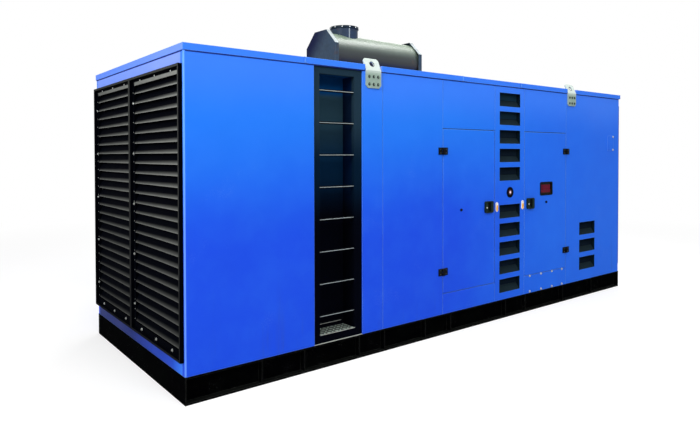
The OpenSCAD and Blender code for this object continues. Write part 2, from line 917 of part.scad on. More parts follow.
// Handle housing with a deep pocket for the fingers, about its middle.
module handle_housing() {
    pocket_w = grip_w + 2 * grip_side;
    difference() {
        upright(-handle_d, handle_d) round_rect([handle_w, handle_h], 18);
        upright(-handle_d - 1, handle_d + 1 - grip_back) round_rect([pocket_w, handle_h - 18], 6);
    }
    translate([-pocket_w / 2 - 1, -handle_d / 2 - grip_back, grip_pivot_h()])
        rotate([0, 90, 0]) cylinder(r = grip_pin_r, h = pocket_w + 2);
}

function grip_pivot_h() = handle_h / 2 - 9 - grip_side - grip_barrel_r;

// Grip that swings out about the pin at its upper end.
module handle_grip() {
    y = -handle_d / 2 - grip_back;
    translate([0, y, grip_pivot_h()]) difference() {
        union() {
            rotate([0, 90, 0])
                translate([0, 0, -grip_w / 2]) cylinder(r = grip_barrel_r, h = grip_w);
            translate([-grip_w / 2, -grip_t / 2, -grip_l]) cube([grip_w, grip_t, grip_l]);
        }
        rotate([0, 90, 0]) translate([0, 0, -grip_w])
            cylinder(r = grip_pin_r + pin_clear, h = 2 * grip_w);
    }
}

module door_buffer() {
    rotate([90, 0, 0]) union() {
        cylinder(r = buffer_r, h = buffer_h * 0.6);
        cylinder(r = buffer_r * 0.7, h = buffer_h);
    }
}

module back_doors() {
    color(paint_blue) at_back() {
        door_leaf(door_1_x0, door_1_x1);
        door_leaf(door_2_x0, door_2_x1);
    }
}

// Closed hinges and handles of the back doors, whose grips are at rest.
module back_door_fittings() {
    color(trim_black) at_back() {
        at_hinges_1() closed_hinge();
        at_hinges_2() closed_hinge();
        for (x = [handle_1_x, handle_2_x])
            translate([x, 0, handle_z]) union() {
                handle_housing();
                handle_grip();
            }
    }
}

module closed_hinge() {
    union() {
        hinge_post();
        mirror([1, 0, 0]) hinge_post();
        translate([0, -hinge_out, -hinge_h / 2]) cylinder(r = knuckle_r, h = hinge_h);
    }
}

/* Small fittings */

module cover_plate() {
    color(paint_blue) upright(-cover_t, cover_t)
        translate([body_l - cover_from_end, cover_z]) round_rect(cover_size, 8);
}

module marker_plates() {
    color([0.95, 0.93, 0.88])
        for (x = [vent_panel_x + marker_in, vent_panel_x + vent_panel_w - marker_in])
            upright(-marker_t, marker_t) translate([x, handle_z - 8])
                round_rect(marker_size, marker_size[0] / 2 - 0.5);
}

stop_stem_r = 9;
stop_hole_gap = 5.5;
stop_floor_d = 6;
stop_head_r = 26;
stop_head_d = 10;
stop_head_gap = 7;
stop_head_proud = 1;
stop_stem_end = 2;
guard_wall_t = 3;
guard_hole_gap = 0.5;
guard_cup_r = stop_head_r + stop_head_gap;
guard_cup_end = guard_cup_d + stop_floor_d;

// Turns shapes drawn upwards to stand out of the wall at the stop button.
module at_stop_button() {
    translate([vent_mid_x, 0, stop_button_z]) rotate([90, 0, 0]) children();
}

// Hole in the wall for the button's cup, with a blind end that clears its stem.
module stop_button_hole() {
    stem_room = stop_stem_end + stop_travel + 4;
    at_stop_button() {
        translate([0, 0, -guard_cup_end - guard_hole_gap])
            cylinder(r = guard_cup_r + guard_wall_t + guard_hole_gap, h = guard_cup_end + 1);
        translate([0, 0, -guard_cup_end - stem_room])
            cylinder(r = stop_stem_r + stop_hole_gap, h = stem_room + 1);
    }
}

module stop_button_guard() {
    color(trim_black) at_stop_button() difference() {
        union() {
            cylinder(r = guard_r, h = guard_d);
            translate([0, 0, -guard_cup_end])
                cylinder(r = guard_cup_r + guard_wall_t, h = guard_cup_end + eps);
        }
        translate([0, 0, -guard_cup_d]) cylinder(r = guard_cup_r, h = guard_cup_d + guard_d + 1);
        translate([0, 0, -guard_cup_end - 1]) cylinder(r = stop_stem_r + pin_clear, h = guard_cup_end);
    }
}

module stop_button() {
    head_z = guard_d + stop_head_proud - stop_head_d;
    stem_z = -guard_cup_end - stop_stem_end;
    color([0.85, 0.10, 0.12]) at_stop_button() union() {
        translate([0, 0, stem_z]) cylinder(r = stop_stem_r, h = head_z - stem_z + eps);
        translate([0, 0, head_z]) cylinder(r = stop_head_r, h = stop_head_d);
    }
}

in_frame() skid_rail();  // skid_rail_front
in_frame() at_back() skid_rail();  // skid_rail_back
in_frame() skid_cross_members();
in_frame() floor_deck();
in_frame() front_panel_left();
in_frame() front_panel_post();
in_frame() front_panel_middle();
in_frame() door_surrounds();  // front_door_surrounds
in_frame() front_vent_panel();
in_frame() front_panel_right();
in_frame() back_panel_left();
in_frame() at_back() door_surrounds();  // back_door_surrounds
in_frame() back_panel_middle();
in_frame() back_panel_right();
in_frame() back_doors();
in_frame() back_door_fittings();
in_frame() end_rails();
in_frame() end_posts();
in_frame() louvre_pair();  // louvres_near_end
in_frame() at_far_end() louvre_pair();  // louvres_far_end
in_frame() roof_panel(0);  // roof_panel_1
in_frame() roof_panel(1);  // roof_panel_2
in_frame() roof_panel(2);  // roof_panel_3
in_frame() roof_panel(3);  // roof_panel_4
in_frame() lifting_lugs();
in_frame() silencer_drum();
in_frame() silencer_end_plates();
in_frame() silencer_outlet();
in_frame() recess_frame();
in_frame() recess_box();
in_frame() recess_tread();
in_frame() ladder_rungs();
in_frame() vent_sills();
in_frame() cover_plate();
in_frame() marker_plates();
in_frame() door_left();
in_frame() door_right();
in_frame() hinge_posts();
in_frame() color(trim_black) at_hinges_1() hinge_leaf();  // door_left_hinges
in_frame() color(trim_black) at_hinges_2() hinge_leaf();  // door_right_hinges
in_frame() color(trim_black) translate([handle_1_x, 0, handle_z]) handle_housing();  // handle_housing_left
in_frame() color(trim_black) translate([handle_2_x, 0, handle_z]) handle_housing();  // handle_housing_right
in_frame() color(trim_black) translate([handle_1_x, 0, handle_z]) handle_grip();  // handle_grip_left
in_frame() color(trim_black) translate([handle_2_x, 0, handle_z]) handle_grip();  // handle_grip_right
in_frame() color(trim_black) translate([bay_1_x + 266, 0, handle_z - 5]) door_buffer();  // door_left_buffer
in_frame() color(trim_black) translate([bay_2_x + 414, 0, handle_z]) door_buffer();  // door_right_buffer
in_frame() window_rim();
in_frame() window_pane();
in_frame() stop_button_guard();
in_frame() stop_button();
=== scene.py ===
"""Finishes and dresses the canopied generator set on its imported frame.

Every size is in metres in the frame's own axes: +X along the canopy from the
near louvred end, +Y from the door side to the back, +Z up.
"""
from __future__ import annotations

import json
import logging
import math
from contextlib import contextmanager
from dataclasses import dataclass
from enum import Enum
from typing import Callable, Iterable, Iterator, Mapping, Sequence

import bmesh
import bpy
from mathutils import Matrix, Vector

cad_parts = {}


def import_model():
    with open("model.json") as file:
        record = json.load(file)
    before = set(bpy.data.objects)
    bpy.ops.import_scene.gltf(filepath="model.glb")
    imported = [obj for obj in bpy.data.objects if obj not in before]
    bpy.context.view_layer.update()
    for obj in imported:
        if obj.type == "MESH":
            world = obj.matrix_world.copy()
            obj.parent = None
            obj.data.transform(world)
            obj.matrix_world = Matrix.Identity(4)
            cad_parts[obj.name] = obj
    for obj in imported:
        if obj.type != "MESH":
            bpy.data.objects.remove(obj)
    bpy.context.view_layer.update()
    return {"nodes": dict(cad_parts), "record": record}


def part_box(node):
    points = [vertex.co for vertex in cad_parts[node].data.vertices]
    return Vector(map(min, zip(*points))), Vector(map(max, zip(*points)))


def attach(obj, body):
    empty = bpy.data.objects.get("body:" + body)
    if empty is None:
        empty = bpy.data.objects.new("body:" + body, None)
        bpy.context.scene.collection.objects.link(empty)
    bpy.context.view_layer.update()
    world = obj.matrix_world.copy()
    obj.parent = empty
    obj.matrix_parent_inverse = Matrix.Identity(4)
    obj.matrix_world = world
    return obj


log = logging.getLogger("generator_set")

Colour = tuple[float, float, float]
Point = tuple[float, float, float]
WHITE: Colour = (1.0, 1.0, 1.0)


def paint(red: int, green: int, blue: int) -> Colour:
    """Linear colour of a paint chip given as 0 to 255 screen values."""
    chip = (red / 255, green / 255, blue / 255)
    return tuple(c / 12.92 if c <= 0.04045 else ((c + 0.055) / 1.055) ** 2.4 for c in chip)


@dataclass(frozen=True)
class Shell:
    """Sizes of the canopy's shell that its finishes and fittings share.

    Attributes:
        half_length: Half the canopy's length.
        half_width: Half its width, over the walls.
        wall: Thickness of its walls.
        lug_x: Middles of the lifting lugs along it.
    """

    half_length: float
    half_width: float
    wall: float
    lug_x: tuple[float, float] = (-1.280, 1.850)

    @classmethod
    def measured(cls) -> "Shell":
        """Takes the sizes off the left wall panel, to a tenth of a millimetre."""
        low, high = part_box("front_panel_left")
        return cls(round(-low[0], 4), round(-low[1], 4), round(high[1] - low[1], 4))


# --------------------------------------------------------------------------
# Shader expressions


class Signal:
    """An output socket; arithmetic on it adds Math nodes."""

    def __init__(self, graph: "Graph", socket: bpy.types.NodeSocket) -> None:
        """Wraps one output socket of a graph."""
        self.graph = graph
        self.socket = socket

    def __add__(self, other: "Value") -> "Signal":
        """Sum."""
        return self.graph.math("ADD", self, other)

    __radd__ = __add__

    def __sub__(self, other: "Value") -> "Signal":
        """Difference."""
        return self.graph.math("SUBTRACT", self, other)

    def __rsub__(self, other: "Value") -> "Signal":
        """Difference, the other way round."""
        return self.graph.math("SUBTRACT", other, self)

    def __mul__(self, other: "Value") -> "Signal":
        """Product."""
        return self.graph.math("MULTIPLY", self, other)

    __rmul__ = __mul__

    def __truediv__(self, other: "Value") -> "Signal":
        """Quotient."""
        return self.graph.math("DIVIDE", self, other)

    def __pow__(self, other: "Value") -> "Signal":
        """Power."""
        return self.graph.math("POWER", self, other)

    def size(self) -> "Signal":
        """Absolute value."""
        return self.graph.math("ABSOLUTE", self, 0.0)

    def lower(self, other: "Value") -> "Signal":
        """The smaller of two values."""
        return self.graph.math("MINIMUM", self, other)

    def higher(self, other: "Value") -> "Signal":
        """The larger of two values."""
        return self.graph.math("MAXIMUM", self, other)

    def ramp(self, low: float, high: float) -> "Signal":
        """Smooth 0 to 1 as the value goes from low to high.

        Args:
            low: Value that gives 0.
            high: Value that gives 1.

        Returns:
            The eased mask.
        """
        swap = low > high
        first, second = (high, low) if swap else (low, high)
        out = self.graph.signal(
            "ShaderNodeMapRange",
            "Result",
            {"interpolation_type": "SMOOTHSTEP"},
            {"Value": self, "From Min": first, "From Max": second},
        )
        return 1 - out if swap else out


Value = Signal | float


class Graph:
    """Builds one node tree."""

    def __init__(self, tree: bpy.types.NodeTree) -> None:
        """Takes a tree and empties it."""
        self.tree = tree
        self.tree.nodes.clear()

    def feed(self, target: bpy.types.NodeSocket, value: object) -> None:
        """Links a signal to a socket, or sets the socket's own value.

        Args:
            target: The input socket.
            value: A signal, a colour, a vector or a number.
        """
        if isinstance(value, Signal):
            self.tree.links.new(value.socket, target)
        elif isinstance(value, tuple) and target.type == "RGBA":
            target.default_value = (*value[:3], 1.0)
        else:
            target.default_value = value

    def node(
        self,
        kind: str,
        settings: Mapping[str, object] | None = None,
        sockets: Mapping[object, object] | None = None,
    ) -> bpy.types.Node:
        """Adds a node.

        Args:
            kind: Node type.
            settings: The node's own settings.
            sockets: Values or signals for its inputs, by name or number.

        Returns:
            The node.
        """
        made = self.tree.nodes.new(kind)
        for key, value in (settings or {}).items():
            setattr(made, key, value)
        for key, value in (sockets or {}).items():
            self.feed(made.inputs[key], value)
        return made

    def signal(
        self,
        kind: str,
        output: object,
        settings: Mapping[str, object] | None = None,
        sockets: Mapping[object, object] | None = None,
    ) -> Signal:
        """Adds a node and returns one of its outputs as a signal."""
        return Signal(self, self.node(kind, settings, sockets).outputs[output])

    def math(self, operation: str, first: Value, second: Value) -> Signal:
        """One Math node."""
        return self.signal("ShaderNodeMath", 0, {"operation": operation}, {0: first, 1: second})

    def split(self, vector: Signal) -> tuple[Signal, Signal, Signal]:
        """X, Y and Z of a vector."""
        made = self.node("ShaderNodeSeparateXYZ", None, {0: vector})
        return tuple(Signal(self, out) for out in made.outputs)

    def ray(self, kind: str) -> Signal:
        """1 for a ray of this kind, such as Camera, and 0 for others."""
        return self.signal("ShaderNodeLightPath", f"Is {kind} Ray")


class Surface(Graph):
    """Builds one material on a Principled surface.

    It holds the object coordinates as where, x, y and z, and the way that the
    surface looks as nx, ny and up.
    """

    def __init__(self, name: str) -> None:
        """Makes the material, its shader and its coordinates.

        Args:
            name: Material name.
        """
        self.material = bpy.data.materials.new(name)
        self.material.use_nodes = True
        super().__init__(self.material.node_tree)
        self.principled = self.node("ShaderNodeBsdfPrincipled")
        self.shader = Signal(self, self.principled.outputs[0])
        self.output = self.node("ShaderNodeOutputMaterial", None, {"Surface": self.shader})
        self.where = self.signal("ShaderNodeTexCoord", "Object")
        self.x, self.y, self.z = self.split(self.where)
        self.nx, self.ny, self.up = self.split(self.signal("ShaderNodeTexCoord", "Normal"))

    def noise(
        self, scale: float, detail: float = 3.0, rough: float = 0.55, run: Point | None = None
    ) -> Signal:
        """Noise from 0 to 1.

        Args:
            scale: Blotches in a metre.
            detail: Octaves.
            rough: Weight of the finer octaves.
            run: Scale along each axis, if the blotches run one way.

        Returns:
            The noise value.
        """
        where = self.where
        if run is not None:
            where = self.signal(
                "ShaderNodeVectorMath", 0, {"operation": "MULTIPLY"}, {0: where, 1: run}
            )
        sockets = {"Vector": where, "Scale": scale, "Detail": detail, "Roughness": rough}
        return self.signal("ShaderNodeTexNoise", 0, None, sockets)

    def cells(self, scale: float) -> Signal:
        """Distance from the middle of the nearest of this many cells in a metre."""
        sockets = {"Vector": self.where, "Scale": scale}
        return self.signal("ShaderNodeTexVoronoi", "Distance", None, sockets)

    def blend(self, factor: Value, first: object, second: object) -> Signal:
        """Colour that goes from first to second."""
        sockets = {0: factor, 6: first, 7: second}
        return self.signal("ShaderNodeMix", 2, {"data_type": "RGBA"}, sockets)

    def bump(self, height: Signal, depth: float, under: Signal | None = None) -> Signal:
        """Normal with a height pattern on it.

        Args:
            height: Pattern from 0 to 1.
            depth: Real depth of the pattern.
            under: Normal that it is laid on.

        Returns:
            The new normal.
        """
        sockets: dict[object, object] = {"Height": height, "Distance": depth}
        if under is not None:
            sockets["Normal"] = under
        return self.signal("ShaderNodeBump", 0, None, sockets)

    def wear_and_sheen(self, radius: float) -> tuple[Signal, Signal]:
        """A rounded normal, and a mask of the edges that it rounds, where painted highlights are
        laid.

        Args:
            radius: Radius of the rounding.

        Returns:
            The normal, and the mask from 0 on flats to 1 on edges.
        """
        soft = self.signal("ShaderNodeBevel", 0, {"samples": 4}, {"Radius": radius})
        flat = self.signal("ShaderNodeNewGeometry", "Normal")
        match = self.signal(
            "ShaderNodeVectorMath", "Value", {"operation": "DOT_PRODUCT"}, {0: soft, 1: flat}
        )
        return soft, (1 - match).ramp(0.01, 0.16)

    def glow(self, strength: Value) -> Signal:
        """White light of a strength."""
        return self.signal("ShaderNodeEmission", 0, None, {"Color": WHITE, "Strength": strength})

    def finish(self, **sockets: object) -> bpy.types.Material:
        """Sets the surface's sockets.

        Args:
            **sockets: Values by socket name, with underscores for its spaces.

        Returns:
            The finished material.
        """
        for key, value in sockets.items():
            self.feed(self.principled.inputs[key.replace("_", " ")], value)
        return self.material


# --------------------------------------------------------------------------
# Finishes


@dataclass(frozen=True)
class Finish:
    """What every finish has.

    Attributes:
        name: Material name, by which pieces ask for the finish.
    """

    name: str

    def material(self) -> bpy.types.Material:
        """Builds the material."""
        raise NotImplementedError


@dataclass(frozen=True)
class CanopyPaint(Finish):
    """Blue polyester paint outside, dark sound lining inside.

    Attributes:
        skin: How deep the paint goes in from the outer faces.
        shell: The canopy's own sizes.
        low: Colour near the ground, darker there as painted shade.
        high: Colour higher up, lighter there as painted light.
        top_light: Colour of the painted highlight right under the roof.
        far_blend: Blend of low and high that the painted light and shade even out to at the far end.
        foam: Colour of the sound lining.
        roof_underside: Height above which the inside is lined no more.
        fold: Radius of the folded edges.
        edge: How strong the painted highlight along the folded edges and the rounded corners is.
        end_sheen: How strong the painted reflection on the upper part of the ends is.
        specular: Specular level.
        rough: Roughness where the paint has no grime or dust.
    """

    skin: float
    shell: Shell
    low: Colour = paint(31, 79, 228)
    high: Colour = paint(37, 121, 242)
    top_light: Colour = paint(64, 128, 250)
    far_blend: float = 0.60
    edge: float = 0.35
    end_sheen: float = 0.0
    specular: float = 0.045
    rough: float = 0.34
    foam: Colour = paint(34, 35, 38)
    roof_underside: float = 2.4812
    fold: float = 0.007

    def material(self) -> bpy.types.Material:
        """Builds the paint.

        Returns:
            The material.
        """
        g = Surface(self.name)
        side = self.shell.half_width - g.y.size()
        end = self.shell.half_length - g.x.size()
        lined = side.lower(end).ramp(self.skin, self.skin + 0.0006)
        lined = lined * (g.z - self.roof_underside).ramp(0.0, -0.0004)
        drift = g.noise(0.7, 2.0)
        # Painted light and shade: darker low down, lighter higher up, evening out towards the far
        # end.
        lift = (g.z + (drift - 0.5) * 0.5).ramp(1.0, 2.1)
        far = (g.x + (drift - 0.5) * 1.2).ramp(-0.6, 1.7)
        colour = g.blend(lift + (self.far_blend - lift) * far, self.low, self.high)
        # Painted highlight right under the roof.
        top_light_mask = (g.z + (drift - 0.5) * 0.3).ramp(1.95, 2.45)
        colour = g.blend(top_light_mask * 0.8, colour, self.top_light)
        mottle = g.noise(5.0, 4.0).ramp(0.3, 0.8)
        colour = g.blend(mottle * 0.10, colour, paint(60, 140, 255))
        streak = g.noise(1.0, 5.0, 0.65, (9.0, 9.0, 0.8))
        grime = streak.ramp(0.56, 0.80) * (g.z - 0.2).ramp(0.75, 0.0)
        colour = g.blend(grime * 0.22, colour, paint(70, 84, 110))
        film = g.noise(1.3, 3.0) * 0.35 + g.noise(24.0, 6.0, 0.7) * 0.65
        dusty = g.up.ramp(0.5, 0.95) * film.ramp(0.40, 0.66)
        colour = g.blend(dusty * 0.20, colour, paint(150, 165, 190))
        # Wear: pale speckled spots where the paint has thinned.
        wear_and_sheen = g.noise(160.0, 2.0).ramp(0.60, 0.66) * g.noise(3.0).ramp(0.60, 0.70)
        colour = g.blend(wear_and_sheen * 0.25, colour, paint(120, 160, 240))
        if self.end_sheen:
            colour = self.end_light_and_shade(g, colour, drift)
        # Painted highlight along the folded edges and on the rounded corners.
        soft, edges = g.wear_and_sheen(self.fold)
        corner = (g.nx.size() * g.ny.size()).ramp(0.08, 0.4)
        edge_highlight = edges.higher(corner) * (0.6 + streak * 0.8)
        colour = g.blend(edge_highlight * self.edge, colour, paint(132, 186, 255))
        cell = g.cells(26.0)
        foam = g.blend(cell.ramp(0.0, 0.6), self.foam, paint(20, 21, 23))
        colour = g.blend(lined, colour, foam)
        peel = g.noise(420.0, 1.0)
        wave = g.noise(1.6, 1.0)
        gloss = self.rough + mottle * 0.06 + grime * 0.2 + dusty * 0.15
        rough = gloss + lined * (0.95 - gloss)
        relief = g.bump(peel * (1 - lined) * 0.04 + cell * lined, 0.004, soft)
        relief = g.bump(wave * (1 - lined), 0.012, relief)
        return g.finish(
            Base_Color=colour,
            Roughness=rough,
            Normal=relief,
            Specular_IOR_Level=self.specular,
        )

    def end_light_and_shade(self, g: Surface, colour: Signal, drift: Signal) -> Signal:
        """Paints light and shade on the faces that look along X.

        Args:
            g: The surface.
            colour: Its paint so far.
            drift: The slow drift of the paint's colour, from 0 to 1.

        Returns:
            The paint with its painted light and shade.
        """
        outward = g.nx.size().ramp(0.6, 0.9)
        # Painted reflection, lavender, on the upper part of the ends.
        high = outward * (g.z - 0.3).ramp(0.0, 2.1)
        high = high * (g.y * -0.15 + 0.79 + (drift - 0.5) * 0.6)
        colour = g.blend(high * self.end_sheen, colour, paint(150, 170, 255))
        # Painted shade at their feet, towards the back.
        far_shade = outward * (g.y + (drift - 0.5) * 1.5).ramp(-1.1, 0.2) * g.z.ramp(0.6, 0.4)
        colour = g.blend(far_shade * 0.85, colour, paint(8, 20, 66))
        # Painted light at their feet, by the front corner.
        near_light = outward * (g.y + (drift - 0.5) * 0.3).ramp(-0.75, -1.05) * g.z.ramp(0.6, 0.4)
        return g.blend(near_light * 0.8, colour, paint(56, 138, 255))


@dataclass(frozen=True)
class CoatedSteel(Finish):
    """Painted or powder-coated steel with dust, chips and a fine texture.

    Attributes:
        colour: Main colour.
        second: Colour of the broad mottling.
        dust: Colour of the dust; in the rung and louvre coats, the colour of their painted highlight.
        dusting: How much dust lies on faces that look up; in the rung and louvre coats, how strong
            their painted highlight is.
        splash: How strong the splash zone near the ground is.
        rough: Roughness.
        grain: Texture spots in a metre.
        relief: Texture depth.
        chips: Share of bright chips.
        specular: Specular level.
        bands: Heights between which the coat turns to another colour, lowest first.
        edge: How strong the painted highlight along sharp edges is.
        slopes: Upward slopes between which dust settles.
        jamb: Colour of the painted shade that faces along X turn to higher up, if it differs.
        jamb_rise: Heights between which they turn.
    """

    colour: Colour
    second: Colour
    dust: Colour = paint(112, 112, 100)
    dusting: float = 0.5
    splash: float = 0.0
    rough: float = 0.5
    grain: float = 700.0
    relief: float = 0.0004
    chips: float = 0.0
    specular: float = 0.12
    bands: tuple[tuple[float, float, Colour], ...] = ()
    edge: float = 0.0
    slopes: tuple[float, float] = (0.05, 0.9)
    jamb: Colour | None = None
    jamb_rise: tuple[float, float] = (1.2, 1.8)

    def dust_and_sheen(self, g: Surface, cloud: Signal) -> Signal:
        """Where dust lies: on faces that look up."""
        return (g.up.ramp(*self.slopes) * (0.45 + cloud * 0.9)).lower(1.0)

    def material(self) -> bpy.types.Material:
        """Builds the coat.

        Returns:
            The material.
        """
        g = Surface(self.name)
        mottle = g.noise(4.0, 5.0, 0.6).ramp(0.32, 0.72)
        colour = g.blend(mottle, self.colour, self.second)
        for start, stop, tone in self.bands:
            colour = g.blend(g.z.ramp(start, stop), colour, tone)
        # Painted shade on the faces that look along X, higher up.
        if self.jamb is not None:
            beside = g.nx.size().ramp(0.6, 0.9) * g.z.ramp(*self.jamb_rise)
            colour = g.blend(beside * 0.8, colour, self.jamb)
        cloud = g.noise(14.0, 6.0, 0.7)
        dust_and_sheen = self.dust_and_sheen(g, cloud)
        colour = g.blend(dust_and_sheen * self.dusting, colour, self.dust)
        if self.splash:
            spatter = cloud.ramp(0.48, 0.66) * g.z.ramp(0.45, 0.0)
            colour = g.blend(spatter * self.splash, colour, self.dust)
        if self.chips:
            chipped = g.noise(240.0, 2.0).ramp(0.68, 0.72) * g.noise(9.0).ramp(0.52, 0.62)
            colour = g.blend(chipped * self.chips, colour, paint(168, 170, 168))
        # Painted highlight along sharp edges.
        if self.edge:
            _, edges = g.wear_and_sheen(0.005)
            colour = g.blend(edges * cloud * self.edge, colour, paint(150, 152, 148))
        rough = (self.rough + dust_and_sheen * 0.25 + mottle * 0.08).lower(1.0)
        texture = g.noise(self.grain, 2.0)
        return g.finish(
            Base_Color=colour,
            Roughness=rough,
            Normal=g.bump(texture, self.relief),
            Specular_IOR_Level=self.specular,
        )


@dataclass(frozen=True)
class RungCoat(CoatedSteel):
    """Black coat with a painted highlight in a patchy band along the front of each rung.

    Attributes:
        sheen_half: Upward slope at which the painted highlight band ends.
        streak: Stretch of the patches of the highlight band along a rung.
    """

    sheen_half: float = 0.30
    streak: float = 0.25

    def dust_and_sheen(self, g: Surface, cloud: Signal) -> Signal:
        """Where the painted highlight lies: in a patchy band along the front.

        Args:
            g: The surface.
            cloud: Its cloudy pattern, from 0 to 1, which the band does without.

        Returns:
            The mask.
        """
        band = g.up.size().ramp(self.sheen_half, self.sheen_half * 0.5)
        patchy = g.noise(60.0, 3.0, 0.6, (self.streak, 1.0, 1.0))
        return (band * (0 - g.ny).ramp(0.2, 0.5) * (0.35 + patchy)).lower(1.0)


@dataclass(frozen=True)
class LouvreCoat(CoatedSteel):
    """Black coat with a pale band on the blade lips, partly dust and mostly painted highlight, with
    painted shade behind it.

    Attributes:
        lips: Distance of the blades' lips from the middle of the canopy.
        rims: Distance of the raised edges' front from the middle.
        reach: How far in the pale band goes behind the lips.
        low: Height of the lowest blade's lip.
        high: Height where the top flange's pale band ends.
        flange: Height of the top flange's foot.
        module: Width of one module, its gap included.
        blade: Half the length of a blade.
    """

    lips: float = 3.004
    rims: float = 3.030
    reach: float = 0.0135
    low: float = 0.376
    high: float = 2.352
    flange: float = 2.262
    module: float = 1.054
    blade: float = 0.468

    def dust_and_sheen(self, g: Surface, cloud: Signal) -> Signal:
        """Where the pale band lies: full on the blades' lips, faint on the rims' faces; dust and
        painted highlight.

        Args:
            g: The surface.
            cloud: Its cloudy pattern, from 0 to 1.

        Returns:
            The mask.
        """
        along = g.math("FRACT", (g.y + self.module) / self.module, 0.0)
        # The band narrows across each module: painted shade.
        depth = (self.lips + 0.0006 - g.x.size()) / (self.reach * (1.10 - along * 0.50))
        lip = (1 - depth).higher(0.0).lower(1.0)
        lip = lip ** 1.8 * 0.85 + lip.ramp(0.84, 1.0) * 0.75
        lip = lip * (g.x.size() - self.lips).ramp(0.004, 0.002)
        span = self.blade / self.module
        lip = lip * (along - 0.5).size().ramp(span, span - 0.004)
        lip = lip * (g.z - self.low).ramp(0.0, 0.003) * (self.high - g.z).ramp(0.0, 0.004)
        lip = lip * (1 - (g.z - self.flange).ramp(0.0, 0.01) * 0.5)
        rim = (g.x.size() - self.rims).ramp(-0.004, -0.001) * 0.14
        open_face = g.nx.size().ramp(0.15, 0.6)
        # Painted light: stronger higher up and towards the door side.
        height = 0.30 + g.z.ramp(0.3, 2.1) * 0.70 + g.z.ramp(1.9, 2.3) * 0.22
        height = height * (1.05 - (g.y + self.module) * 0.18)
        return (lip.higher(rim) * open_face * (0.8 + cloud * 0.4) * height).lower(1.0)


@dataclass(frozen=True)
class SilencerCoat(Finish):
    """Heat-proof grey paint with painted shade underneath and, on top, dust and a painted highlight.

    Attributes:
        middle: Height of the drum's axis.
        radius: The drum's radius.
        grey: Main colour.
        warm: Colour of the painted shade underneath.
        bloom: Colour of the dust and painted highlight on top.
        settles: Upward slopes between which the dust and painted highlight lie.
        edge: How strong the painted highlight along sharp edges is.
        specular: Specular level.
        shade: How strong the painted shade on the upper back part of the near face is.
        collar: Height above which the coat is darker, if anywhere.
    """

    middle: float
    radius: float
    grey: Colour = paint(43, 51, 46)
    warm: Colour = paint(28, 9, 18)
    bloom: Colour = paint(156, 178, 154)
    settles: tuple[float, float] = (0.10, 0.86)
    shade: float = 0.0
    edge: float = 0.0
    specular: float = 0.5
    collar: float | None = None

    def material(self) -> bpy.types.Material:
        """Builds the coat.

        Returns:
            The material.
        """
        g = Surface(self.name)
        brushed = g.noise(1.0, 5.0, 0.6, (1.5, 30.0, 30.0))
        colour = g.blend(brushed.ramp(0.3, 0.7) * 0.4, self.grey, paint(50, 58, 60))
        # Painted shade underneath, in patches.
        low = (g.z - self.middle).ramp(0.06, -self.radius * 0.6)
        stain = g.noise(7.0, 6.0, 0.65)
        colour = g.blend((low * (0.65 + stain * 0.6)).lower(1.0), colour, self.warm)
        rust = stain.ramp(0.62, 0.74) * 0.35
        colour = g.blend(rust, colour, paint(96, 66, 48))
        # Dust and painted highlight on top.
        dust_and_sheen = g.up.ramp(*self.settles) * (0.3 + stain)
        colour = g.blend((dust_and_sheen * 0.72).lower(1.0), colour, self.bloom)
        # Painted shade on the upper back part of the near face.
        if self.shade:
            back_shade = (g.y + (g.z - self.middle) * 0.8 + stain * 0.1).ramp(0.12, 0.40)
            colour = g.blend(back_shade * self.shade, colour, paint(3, 14, 52))
        if self.collar is not None:
            above = (g.z - self.collar).ramp(-0.001, 0.001)
            colour = g.blend(above * 0.8, colour, paint(14, 30, 38))
        # Painted highlight along sharp edges.
        if self.edge:
            _, edges = g.wear_and_sheen(0.006)
            colour = g.blend(edges * (0.5 + stain) * self.edge, colour, paint(206, 214, 208))
        texture = g.noise(300.0, 3.0)
        return g.finish(
            Base_Color=colour,
            Roughness=0.28 + stain * 0.14,
            Normal=g.bump(texture, 0.0004),
            Specular_IOR_Level=self.specular,
        )


@dataclass(frozen=True)
class BrushedSteel(Finish):
    """Bright zinc or bare steel with fine scratches.

    Attributes:
        colour: Main colour.
        tarnish: Colour of the dull patches.
        rough: Roughness.
        metal: Metallic value.
    """

    colour: Colour = paint(205, 208, 205)
    tarnish: Colour = paint(128, 130, 126)
    rough: float = 0.34
    metal: float = 0.85

    def material(self) -> bpy.types.Material:
        """Builds the metal.

        Returns:
            The material.
        """
        g = Surface(self.name)
        spangle = g.cells(160.0)
        dull = g.noise(22.0, 5.0, 0.65).ramp(0.35, 0.75)
        colour = g.blend(dull * 0.6, self.colour, self.tarnish)
        colour = g.blend(spangle.ramp(0.2, 0.8) * 0.12, colour, paint(235, 238, 235))
        scratch = g.noise(320.0)
        return g.finish(
            Base_Color=colour,
            Metallic=self.metal,
            Roughness=self.rough + dull * 0.22,
            Normal=g.bump(scratch, 0.00025),
        )


@dataclass(frozen=True)
class MouldedPart(Finish):
    """Rubber or plastic with a moulded grain.

    Attributes:
        colour: Main colour.
        bloom: Colour of the dusty bloom.
        rough: Roughness.
        specular: Specular level.
    """

    colour: Colour
    bloom: Colour = paint(92, 94, 92)
    rough: float = 0.6
    specular: float = 0.5

    def material(self) -> bpy.types.Material:
        """Builds the moulding.

        Returns:
            The material.
        """
        g = Surface(self.name)
        haze = g.noise(30.0, 5.0, 0.65).ramp(0.42, 0.8)
        colour = g.blend(haze * 0.25, self.colour, self.bloom)
        grain = g.noise(1400.0, 2.0)
        return g.finish(
            Base_Color=colour,
            Roughness=(self.rough + haze * 0.15).lower(1.0),
            Normal=g.bump(grain, 0.0002),
            Specular_IOR_Level=self.specular,
        )


